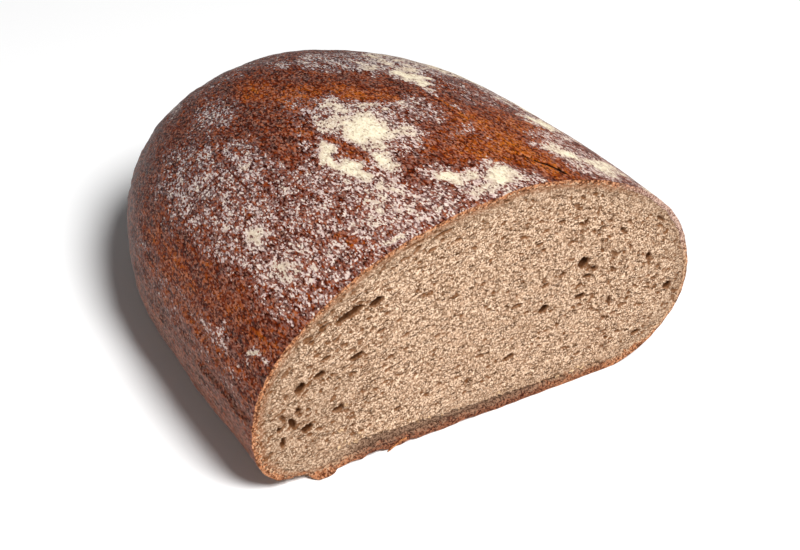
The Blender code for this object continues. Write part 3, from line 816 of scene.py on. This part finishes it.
# Flour and torn rim are matt, and bare crust has a slight gloss.
roughness = add_node(tree, "MapRange", {}, {0: floured, 3: 0.46, 4: 0.95})
matt_rim = add_node(tree, "Math", TIMES, {0: stored["rim"], 1: 0.9})
roughness = add_node(tree, "Math", LARGER, {0: roughness, 1: matt_rim})
height = add_node(tree, "Math", TIMES, {0: mottle, 1: 0.8})
height = add_node(tree, "Math", TIMES_PLUS, {0: floured, 1: 0.6, 2: height})
height = add_node(tree, "Math", TIMES_PLUS, {0: streaks, 1: 1.2, 2: height})
crumbled = add_node(tree, "Math", TIMES, {0: fleck, 1: stored["rim"]})
height = add_node(tree, "Math", TIMES_PLUS, {0: crumbled, 1: 0.9, 2: height})
relief = add_node(tree, "Bump", {}, {"Strength": 0.8, "Distance": 0.0005, "Height": height})
skin_look = {"IOR": 1.45, "Specular IOR Level": 0.10}
skin_look.update({"Base Color": skin_tone, "Roughness": roughness, "Normal": relief})
finish_material(crust, crust_skin, skin_look)
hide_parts("rye_loaf")
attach(crust, "root")

# Crumb. The loaf's inside, bared by a serrated knife: moist grey-brown sourdough rye crumb, close
# and even, with gas holes a little flattened along the loaf's outline, larger to both sides.
# Its lowest few millimetres are a dense, smeared layer on the bottom crust, just behind a ledge.
CRUMB_STEP = 0.0004
EDGE_TUCK = 0.0004
LEDGE_DEPTH = 0.0008
INTO_WALL = 0.0012
# How flat the crumb's layers lie under the dome, in square millimetres.
LAYER_CURVE = 16700.0

# The gas holes that show singly, each an ellipse. They are placed in millimetres from the middle of
# the loaf's base, and tilt is in degrees.
Pore = namedtuple("Pore", "x z wide high tilt")
PORES = (
    Pore(-54.8, 62.6, 11.0, 3.4, 21),
    Pore(-45.2, 64.2, 5.8, 3.6, 20),
    Pore(-51.5, 44.9, 5.6, 3.0, 8),
    Pore(-65.2, 42.5, 4.6, 3.0, 18),
    Pore(-71.9, 39.6, 4.6, 3.8, 46),
    Pore(-57.5, 25.8, 5.2, 2.7, 7),
    Pore(-69.0, 22.1, 4.8, 3.6, 0),
    Pore(-74.4, 26.2, 6.2, 2.6, -64),
    Pore(-72.7, 30.6, 3.0, 2.4, 10),
    Pore(-79.2, 25.4, 2.6, 2.4, 0),
    Pore(-77.9, 19.5, 5.0, 2.2, -88),
    Pore(-34.0, 16.7, 3.4, 2.0, 4),
    Pore(39.3, 52.3, 5.4, 4.7, -7),
    Pore(44.8, 48.1, 3.0, 2.4, -25),
    Pore(24.0, 37.7, 5.0, 3.6, 6),
    Pore(81.3, 29.1, 4.6, 3.4, 3),
    Pore(40.0, 37.8, 5.6, 2.6, -7),
    Pore(38.1, 69.0, 3.4, 2.0, -78),
    Pore(55.3, 60.8, 3.4, 1.9, -37),
    Pore(72.2, 60.6, 5.6, 1.5, -39),
    Pore(53.5, 45.3, 4.6, 1.4, -42),
    Pore(69.6, 45.5, 3.6, 3.0, -66),
    Pore(11.0, 21.6, 5.6, 2.2, 9),
    Pore(69.6, 12.0, 4.6, 2.2, 4),
    Pore(-68.3, 56.3, 2.6, 1.8, 20),
    Pore(-64.2, 60.7, 3.8, 1.8, 22),
    Pore(-63.2, 48.2, 4.8, 1.8, 13),
    Pore(-42.5, 52.1, 3.9, 1.7, 19),
    Pore(-78.0, 29.6, 4.3, 1.6, -74),
    Pore(42.1, 45.8, 4.5, 2.0, -10),
    Pore(38.8, 43.1, 3.2, 1.8, 0),
    Pore(23.4, 48.0, 3.9, 1.8, 5),
    Pore(30.6, 50.2, 3.1, 1.7, 0),
    Pore(20.7, 63.2, 2.6, 1.6, 0),
    Pore(18.5, 66.1, 3.7, 1.7, 5),
    Pore(27.1, 72.5, 3.9, 1.6, -10),
    Pore(62.5, 29.7, 2.2, 1.8, 0),
    Pore(11.8, 43.1, 4.6, 1.7, 4),
    Pore(-20.3, 42.2, 2.8, 1.6, 8),
    Pore(54.0, 31.4, 5.3, 2.0, -78),
    Pore(-21.3, 82.8, 8.3, 1.5, 12),
    Pore(-32.0, 82.0, 9.0, 1.1, 14),
)
SMALL_PORES = 1700
SMALL_PORE_REACH, SMALL_PORE_LOWEST, SMALL_PORE_HIGHEST = 88.0, 9.0, 90.0
LARGEST_SMALL_PORE = 1.6

half_width, top_z = WIDTH / 2, HEIGHT + 0.002
grid_x = np.arange(-half_width, half_width + CRUMB_STEP, CRUMB_STEP)
grid_z = np.arange(0.001, top_z, CRUMB_STEP)
crumb_x, crumb_z = np.meshgrid(grid_x, grid_z)

# How far each point lies inside the rim, measured along rays from the middle of the face.
middle_x, middle_z = recess_centre[0], recess_centre[2]
rim_turn = np.arctan2(rim_inner[:, 2] - middle_z, rim_inner[:, 0] - middle_x)
rim_reach = np.hypot(rim_inner[:, 0] - middle_x, rim_inner[:, 2] - middle_z)
order = np.argsort(rim_turn)
turn = np.arctan2(crumb_z - middle_z, crumb_x - middle_x)
reach_limit = np.interp(turn, rim_turn[order], rim_reach[order], period=2 * np.pi)
to_rim = reach_limit - np.hypot(crumb_x - middle_x, crumb_z - middle_z)

x_mm, z_mm = crumb_x * 1000.0, crumb_z * 1000.0
zero = x_mm * 0.0
layer = z_mm * np.exp(x_mm**2 / LAYER_CURVE)
depth = 0.35 + 0.28 * noise_field(x_mm, z_mm, zero, 13.0)
depth += 0.10 * noise_field(x_mm / 5.0, z_mm, zero, 1.9, 9.0)

# Close cells of the crumb, flattened along its layers, each with its own depth. Span and depth are
# in millimetres, and the shift keeps the two sets apart.
CELL_SETS = ((1.2, 0.24, 0.0), (0.85, 0.20, 40.0))
cells = np.zeros_like(depth)
for span, strength, shift in CELL_SETS:
    nearest = np.empty(x_mm.size)
    own = np.empty(x_mm.size)
    along_layer = (x_mm / (1.7 * span) + shift).ravel()
    for i, (u, v) in enumerate(zip(along_layer, (layer / span).ravel())):
        distances, centres = noise.voronoi((u, v, 0.0))
        nearest[i] = distances[0]
        own[i] = noise.cell(centres[0] * 3.0)
    pit = 1.0 - smooth_step(0.10, 0.62, nearest.reshape(x_mm.shape))
    cells += strength * pit * (0.25 + 0.75 * own.reshape(x_mm.shape))

# Small holes lie closer together towards both sides and the top.
chance = random.Random(17)
small = []
while len(small) < SMALL_PORES:
    x = chance.uniform(-SMALL_PORE_REACH, SMALL_PORE_REACH)
    z = chance.uniform(SMALL_PORE_LOWEST, SMALL_PORE_HIGHEST)
    thick = 0.35 + 0.65 * smooth_step(20.0, 75.0, abs(x)) + 0.3 * smooth_step(40.0, 80.0, z)
    if chance.random() > thick:
        continue
    size = min(LARGEST_SMALL_PORE, 0.78 * (1.0 - chance.random() * 0.96) ** -0.32)
    longer = chance.uniform(1.0, 2.3)
    layer_tilt = -math.degrees(math.atan(2.0 * x * z / LAYER_CURVE))
    tilt = layer_tilt + chance.uniform(-1.0, 1.0) * (14.0 + 0.4 * abs(x))
    small.append(Pore(x, z, size * longer, size, tilt))

holes = np.zeros_like(depth)
for number, pore in enumerate(PORES + tuple(small)):
    half = 0.75 * pore.wide + 0.8
    left, right = np.searchsorted(grid_x * 1000.0, (pore.x - half, pore.x + half))
    low, high = np.searchsorted(grid_z * 1000.0, (pore.z - half, pore.z + half))
    if left >= right or low >= high:
        continue
    window = (slice(low, high), slice(left, right))
    across, up = x_mm[window] - pore.x, z_mm[window] - pore.z
    lean = math.radians(pore.tilt)
    u = (across * math.cos(lean) + up * math.sin(lean)) / (pore.wide / 2)
    v = (up * math.cos(lean) - across * math.sin(lean)) / (pore.high / 2)
    warp_span = max(0.9, 0.45 * pore.high)
    warp = noise_field(x_mm[window], z_mm[window], zero[window] + number * 0.37, warp_span)
    bulge = np.maximum(0.0, 1.0 - (u * u + v * v) * (1.0 + 0.35 * warp))
    deep = 0.5 * pore.high + 0.4 if number < len(PORES) else 0.6 * pore.high
    holes[window] = np.maximum(holes[window], deep * (1.0 - (1.0 - bulge) ** 3))

# Below the ledge the dense layer lies back, and it is smooth.
LEDGE_X = (-66.0, -45.0, -16.0, 0.0, 27.0, 54.0)
LEDGE_HEIGHT = (8.7, 8.7, 6.3, 6.0, 4.6, 4.2)
ledge_mm = np.interp(x_mm, LEDGE_X, LEDGE_HEIGHT)
ledge_mm += 0.4 * noise_field(x_mm, zero, zero + 4.0, 6.0) + 0.7 * noise_field(x_mm, zero, zero + 8.0, 1.9)
ledge_mm += 0.5 * noise_field(x_mm, zero, zero + 3.0, 0.9)
ledge_there = smooth_step(-66.0, -57.0, x_mm) * (1.0 - smooth_step(48.0, 58.0, x_mm))
below = smooth_step(0.25, -0.25, z_mm - ledge_mm) * ledge_there
depth += (cells + 0.05 * noise_field(x_mm, z_mm, zero, 0.8)) * (1.0 - 0.75 * below)
depth = np.maximum(depth, holes * (1.0 - 0.6 * below) + 0.5 * depth)
depth += 1000.0 * LEDGE_DEPTH * below
crevice = smooth_step(0.9, 0.0, ledge_mm - z_mm) * below
depth += 0.4 * crevice
# Next to the rim the crumb comes forward to meet it, and what tucks in behind the rim lies back.
depth *= 1.0 - 0.65 * smooth_step(1.6, 0.1, to_rim * 1000.0) * (1.0 - below)
depth += 1.6 * smooth_step(0.0, -0.40, to_rim * 1000.0)
crumb_y = FACE_Y + depth / 1000.0

inside = to_rim > -EDGE_TUCK
index = np.full(inside.shape, -1)
index[inside] = np.arange(inside.sum())
corners = np.stack([index[:-1, :-1], index[:-1, 1:], index[1:, 1:], index[1:, :-1]], -1).reshape(-1, 4)
corners = corners[(corners >= 0).all(1)]
used = np.unique(corners)
renumber = np.full(inside.sum(), -1)
renumber[used] = np.arange(len(used))
corners = renumber[corners]
front = np.stack([crumb_x[inside], crumb_y[inside], crumb_z[inside]], 1)[used]
overshoot = (to_rim[inside] + EDGE_TUCK)[used]

edges = np.concatenate([corners[:, [0, 1]], corners[:, [1, 2]], corners[:, [2, 3]], corners[:, [3, 0]]])
keys = np.sort(edges, 1)
_, first_seen, seen = np.unique(keys, axis=0, return_index=True, return_counts=True)
outline_edges = edges[first_seen[seen == 1]]
on_outline = np.unique(outline_edges)
outer_x, outer_z = front[on_outline, 0] - middle_x, front[on_outline, 2] - middle_z
stretch = 1.0 + overshoot[on_outline] / np.hypot(outer_x, outer_z)
front[on_outline, 0] = middle_x + outer_x * stretch
front[on_outline, 2] = middle_z + outer_z * stretch
back_index = {int(v): len(front) + i for i, v in enumerate(on_outline)}
back = front[on_outline].copy()
back_y = FACE_Y + RECESS + INTO_WALL
back[:, 1] = back_y
hub = len(front) + len(back)
crumb_faces = [tuple(int(v) for v in quad) for quad in corners]
for a, b in outline_edges:
    a, b = int(a), int(b)
    crumb_faces.append((b, a, back_index[a], back_index[b]))
    crumb_faces.append((back_index[b], back_index[a], hub))
crumb_points = np.concatenate([front, back, [[middle_x, back_y, middle_z]]])
crumb = add_mesh("crumb", crumb_points, crumb_faces)


def for_crumb_points(values):
    everywhere = np.zeros(len(crumb_points))
    everywhere[: len(front)] = values[inside][used]
    return everywhere


near_crust = 1.0 - smooth_step(1.0, 9.0, to_rim * 1000.0)
lower_left = 0.8 * smooth_step(-35.0, -70.0, x_mm)
near_crust = np.maximum(near_crust, lower_left * smooth_step(60.0, 25.0, z_mm))
toasted = (1.0 - smooth_step(0.2, 2.8, to_rim * 1000.0)) * (1.0 - smooth_step(45.0, 65.0, x_mm))
# Values for the crumb's colour. The pit and hole values mark where shade is painted: in the cells' pits,
# in the holes, and along the crevice under the ledge.
CRUMB_VALUES = {
    "near_crust": near_crust,
    "toasted": toasted * (1.0 - below),
    "pit": np.clip(cells / 0.5, 0.0, 1.0) * (1.0 - 0.6 * below),
    "hole": np.maximum(holes / 2.4, 0.3 * crevice),
    "dense": below * (0.15 + 0.85 * smooth_step(-58.0, -44.0, x_mm)),
    "layer": layer / 1000.0,
}
for name, values in CRUMB_VALUES.items():
    add_values(crumb, name, for_crumb_points(values))

# Moist rye crumb, cut: matt, grey brown and slightly translucent. Its thin cell walls catching the
# light are painted as pale grains, which are painted highlights, and its pits and holes are painted
# shade, warm brown at their sides and near black deeper in. It is greyer where it dried next to the
# crust. A thin toasted line follows the rim. The grit of crushed rye is 0.1 to 0.3 mm and is drawn
# as cells of about half a millimetre, so that it shows.
rye_crumb, tree = new_material("cut_rye_crumb")
where = add_node(tree, "TexCoord", output="Object")
stored = {}
for name in CRUMB_VALUES:
    stored[name] = add_node(tree, "Attribute", {"attribute_name": name}, output="Fac")
split = add_node(tree, "SeparateXYZ", {}, {0: where}).node
narrowed = add_node(tree, "Math", TIMES, {0: split.outputs["X"], 1: 0.42})
layered = add_node(tree, "CombineXYZ", {}, {0: narrowed, 1: split.outputs["Y"], 2: stored["layer"]})
slits = add_node(tree, "TexNoise", {}, {"Vector": layered, "Scale": 1000 / 1.0, "Detail": 2.0})
wall_pattern = {"Vector": layered, "Scale": 1000 / 1.5, "Detail": 3.0, "Roughness": 0.7}
walls = add_node(tree, "TexNoise", {}, wall_pattern)
grit = add_node(tree, "TexVoronoi", {}, {"Vector": where, "Scale": 1000 / 0.46}, "Color")
cloud = add_node(tree, "TexNoise", {}, {"Vector": where, "Scale": 1000 / 9.0, "Detail": 3.0})
# Over a darker ground come paler cell walls and cloudy patches. Then pale grit is painted as highlights on
# the grains, and dark grit and slits are painted as shade in the small pits.
crumb_grain_with_painted_light_and_shade = (
    (walls, 0.34, 0.62, 1.0, "#bc997c"),
    (cloud, 0.35, 0.70, 0.25, "#997e65"),
    (grit, 0.50, 0.85, 0.92, "#ebcdb1"),
    (grit, 0.46, 0.14, 0.88, "#573b25"),
    (slits, 0.36, 0.31, 0.85, "#44270f"),
)
body = lay_over(tree, colour("#7f614a"), crumb_grain_with_painted_light_and_shade)
# Greyer next to the crust, toasted along the rim, and painted shade over the pits of the cells.
for name, most, code in (
    ("near_crust", 0.35, "#856a54"),
    ("toasted", 0.50, "#945c38"),
    ("pit", 0.25, "#6a4c36"),
):
    share = add_node(tree, "Math", TIMES, {0: stored[name], 1: most})
    body = add_node(tree, "Mix", MIX, {0: share, 6: body, 7: colour(code)}, 2)
# Painted shade in the holes: a darker warm brown on their sides, partly their own colour, and near black
# deeper in, also along the crevice under the ledge.
hole = stored["hole"]
hole_sides_and_floors = ((hole, 0.08, 0.26, 0.80, "#764c2d"), (hole, 0.30, 0.70, 0.88, "#3f210c"))
body = lay_over(tree, body, hole_sides_and_floors)
dense_tone = lay_over(tree, colour("#4e3427"), ((grit, 0.15, 0.85, 1.0, "#977963"),))
body = add_node(tree, "Mix", MIX, {0: stored["dense"], 6: body, 7: dense_tone}, 2)
open_slits = add_node(tree, "MapRange", SOFT, {0: slits, 1: 0.30, 2: 0.42})
height = add_node(tree, "Math", TIMES, {0: grit, 1: 0.5})
height = add_node(tree, "Math", TIMES_PLUS, {0: walls, 1: 0.7, 2: height})
height = add_node(tree, "Math", TIMES_PLUS, {0: open_slits, 1: 0.8, 2: height})
relief = add_node(tree, "Bump", {}, {"Strength": 0.9, "Distance": 0.0005, "Height": height})
crumb_look = {"Roughness": 0.9, "IOR": 1.4, "Specular IOR Level": 0.05}
crumb_look.update({"Base Color": body, "Normal": relief})
finish_material(crumb, rye_crumb, crumb_look)
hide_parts("rye_loaf")
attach(crumb, "root")

# Bits of crumb. The knife left torn grains of crumb hanging along the lip over the dense layer,
# and a few more on the face. They are the same moist rye crumb and cling to it. Places and sizes are
# in millimetres.
Bit = namedtuple("Bit", "x z size")
BITS = (
    Bit(-49.0, 12.3, 0.75),
    Bit(-50.6, 9.6, 0.60),
    Bit(-56.5, 16.5, 0.80),
    Bit(-54.8, 26.6, 0.85),
)
STRAY_BITS = 36
LIP_LEFT, LIP_RIGHT = -60.0, 50.0
chance = random.Random(5)
ledge_by_x = ledge_mm[0]
strays = []
while len(strays) < STRAY_BITS:
    x = chance.uniform(LIP_LEFT, LIP_RIGHT)
    above_lip = 0.1 + 2.4 * chance.random() ** 2
    size = 0.20 + 0.45 * chance.random() ** 2
    strays.append(Bit(x, float(np.interp(x, x_mm[0], ledge_by_x)) + above_lip, size))
bit_points, bit_faces = [], []
for number, bit in enumerate(BITS + tuple(strays)):
    row = int(round((bit.z / 1000.0 - grid_z[0]) / CRUMB_STEP))
    column = int(round((bit.x / 1000.0 - grid_x[0]) / CRUMB_STEP))
    seat = depth[row, column] - 0.25 * bit.size
    shape = bmesh.new()
    bmesh.ops.create_icosphere(shape, subdivisions=3, radius=1.0)
    squash = (chance.uniform(0.9, 1.8), chance.uniform(0.5, 0.8), chance.uniform(0.5, 1.0))
    lean = chance.uniform(-0.6, 0.6)
    first = len(bit_points)
    for vert in shape.verts:
        uneven = bit.size * (1.0 + 0.7 * noise.noise(vert.co * 1.6 + Vector((3.1 * number, 0.0, 0.0))))
        u, v = vert.co.x * squash[0] * uneven, vert.co.z * squash[2] * uneven
        across = bit.x + u * math.cos(lean) - v * math.sin(lean)
        up = bit.z + u * math.sin(lean) + v * math.cos(lean)
        out = seat + vert.co.y * squash[1] * uneven
        bit_points.append((across / 1000.0, FACE_Y + out / 1000.0, up / 1000.0))
    shape.verts.index_update()
    for face in shape.faces:
        bit_faces.append(tuple(first + vert.index for vert in face.verts))
    shape.free()
bits = add_mesh("crumb_bits", bit_points, bit_faces)

# The same moist crumb, but torn and not cut: matt, with coarse pale and brown grains that are partly
# painted highlight and shade, as on the face. It is painted a little paler than the face, as painted
# light, because it stands out into the light.
torn_crumb, tree = new_material("torn_rye_crumb")
where = add_node(tree, "TexCoord", output="Object")
grit = add_node(tree, "TexVoronoi", {}, {"Vector": where, "Scale": 1000 / 0.46}, "Color")
body = lay_over(tree, colour("#7d5d43"), ((grit, 0.15, 0.85, 1.0, "#dcbd98"),))
bit_look = {"Base Color": body, "Roughness": 0.9, "IOR": 1.4, "Specular IOR Level": 0.05}
finish_material(bits, torn_crumb, bit_look)
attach(bits, "root")

# Splinter of crust. A thin leaf of the bottom crust that the knife lifted: it still hangs on by its
# right end, and its left end touches the table. It is baked hard, orange brown where it broke.
SPLINTER_WIDTH = 0.0021
SPLINTER_THICKNESS = 0.0006
SPLINTER_TIP = Vector((-0.0378, FACE_Y - 0.0008, 0.0003))
SPLINTER_ROOT = Vector((-0.0296, FACE_Y + 0.0006, 0.0022))
SPLINTER_STEPS, SPLINTER_SIDES = 18, 10
splinter_points, splinter_faces = [], []
for i in range(SPLINTER_STEPS + 1):
    share = i / SPLINTER_STEPS
    centre = SPLINTER_TIP.lerp(SPLINTER_ROOT, share)
    centre.z += 0.0005 * math.sin(math.pi * share)
    full = math.sqrt(max(0.0, min(1.0, 5.0 * share + 0.06)))
    wobble = 1.0 + 0.3 * noise.noise(Vector((9.0 * share, 0.0, 0.0)))
    for j in range(SPLINTER_SIDES):
        turn = 2.0 * math.pi * j / SPLINTER_SIDES
        rough = 1.0 + 0.25 * noise.noise(Vector((14.0 * share, math.cos(turn), math.sin(turn) + 4.0)))
        lift = 0.5 * SPLINTER_WIDTH * full * wobble * rough * math.cos(turn)
        deep = 0.5 * SPLINTER_THICKNESS * full * rough * math.sin(turn)
        height = max(0.00003, centre.z + 0.42 * lift + 0.6 * deep)
        splinter_points.append((centre.x - 0.2 * lift, centre.y - 0.75 * lift + 0.8 * deep, height))
for i in range(SPLINTER_STEPS):
    for j in range(SPLINTER_SIDES):
        a, b = i * SPLINTER_SIDES + j, i * SPLINTER_SIDES + (j + 1) % SPLINTER_SIDES
        splinter_faces.append((a, b, b + SPLINTER_SIDES, a + SPLINTER_SIDES))
last_ring = SPLINTER_STEPS * SPLINTER_SIDES
splinter_faces.append(tuple(range(SPLINTER_SIDES)))
splinter_faces.append(tuple(range(last_ring, last_ring + SPLINTER_SIDES)))
splinter = add_mesh("crust_splinter", splinter_points, splinter_faces)

# Dry bottom crust where it broke: orange brown in flakes of about half a millimetre, and a little
# less matt than crumb, because it is baked hard.
broken_crust, tree = new_material("broken_crust")
where = add_node(tree, "TexCoord", output="Object")
fleck = add_node(tree, "TexVoronoi", {}, {"Vector": where, "Scale": 1000 / 0.6}, "Color")
body = lay_over(tree, colour("#7a4324"), ((fleck, 0.15, 0.85, 1.0, "#d2935f"),))
splinter_look = {"Base Color": body, "Roughness": 0.7, "IOR": 1.45, "Specular IOR Level": 0.10}
finish_material(splinter, broken_crust, splinter_look)
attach(splinter, "root")

# Table. A board painted matt white, which the half loaf stands on. It is far wider than a table, so
# that its edge stays out of every view, and it lies just under the loaf so the two don't touch.
TABLE_SIZE = 8.0
TABLE_GAP = 0.0002
table_mesh = bpy.data.meshes.new("table")
half = TABLE_SIZE / 2
table_corners = [(-half, -half, 0), (half, -half, 0), (half, half, 0), (-half, half, 0)]
table_mesh.from_pydata(table_corners, [], [(0, 1, 2, 3)])
table = bpy.data.objects.new("table", table_mesh)
table.location = (0.0, 0.0, -TABLE_GAP)
bpy.context.scene.collection.objects.link(table)

# White matt paint, which comes out pure white in the light and soft grey in the shadow.
table_paint, tree = new_material("white_table")
finish_material(table, table_paint, {"Base Color": colour("#fbfbfb"), "Roughness": 0.8})
table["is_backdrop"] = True

# Light. A soft lamp high in front of the cut throws a short shadow behind and to the left, and a
# weak low panel lights the left flank. The room itself is dim.
ROOM_LIGHT = 0.09
LAMP_AIM = Vector((0.0, 0.0, 0.03))
Panel = namedtuple("Panel", "name towards distance size watts")
PANELS = (
    Panel("key", (0.09, -0.585, 0.805), 2.4, 1.0, 84.0),
    Panel("left", (-0.93, -0.33, 0.15), 1.3, 0.40, 2.85),
)
for panel in PANELS:
    towards = Vector(panel.towards).normalized()
    lamp = bpy.data.lights.new(panel.name, "AREA")
    lamp.shape = "DISK"
    lamp.size = panel.size
    lamp.energy = panel.watts
    holder = bpy.data.objects.new(panel.name, lamp)
    holder.location = LAMP_AIM + towards * panel.distance
    holder.rotation_mode = "QUATERNION"
    holder.rotation_quaternion = towards.to_track_quat("Z", "Y")
    bpy.context.scene.collection.objects.link(holder)
world = bpy.data.worlds.new("daylight")
world.use_nodes = True
background = world.node_tree.nodes["Background"]
background.inputs["Color"].default_value = (1.0, 1.0, 1.0, 1.0)
background.inputs["Strength"].default_value = ROOM_LIGHT
bpy.context.scene.world = world
bpy.context.scene.view_settings.view_transform = "Standard"

# Camera. It stands to the left of the cut face and looks down on the loaf, held a little askew. Its
# place was fitted to the outlines in the photo. Angles are in degrees and the lens in millimetres.
CAMERA_LENS, CAMERA_SENSOR = 72.98, 36.0
CAMERA_AZIMUTH, CAMERA_ELEVATION, CAMERA_ROLL = -34.94, 34.62, 4.03
CAMERA_DISTANCE = 0.5705
CAMERA_TARGET = Vector((-0.0079, -0.0439, 0.0369))
azimuth, elevation, roll = (math.radians(v) for v in (CAMERA_AZIMUTH, CAMERA_ELEVATION, CAMERA_ROLL))
back_axis = Vector((math.sin(azimuth) * math.cos(elevation),
                    -math.cos(azimuth) * math.cos(elevation), math.sin(elevation)))
level_right = Vector((math.cos(azimuth), math.sin(azimuth), 0.0))
level_up = back_axis.cross(level_right)
right_axis = level_right * math.cos(roll) + level_up * math.sin(roll)
up_axis = level_up * math.cos(roll) - level_right * math.sin(roll)
lens = bpy.data.cameras.new("camera")
lens.sensor_width = CAMERA_SENSOR
lens.lens = CAMERA_LENS
lens.clip_start = 0.01
camera = bpy.data.objects.new("camera", lens)
camera.matrix_world = Matrix((right_axis, up_axis, back_axis)).transposed().to_4x4()
camera.location = CAMERA_TARGET + back_axis * CAMERA_DISTANCE
bpy.context.scene.collection.objects.link(camera)
bpy.context.scene.camera = camera

low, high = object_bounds()
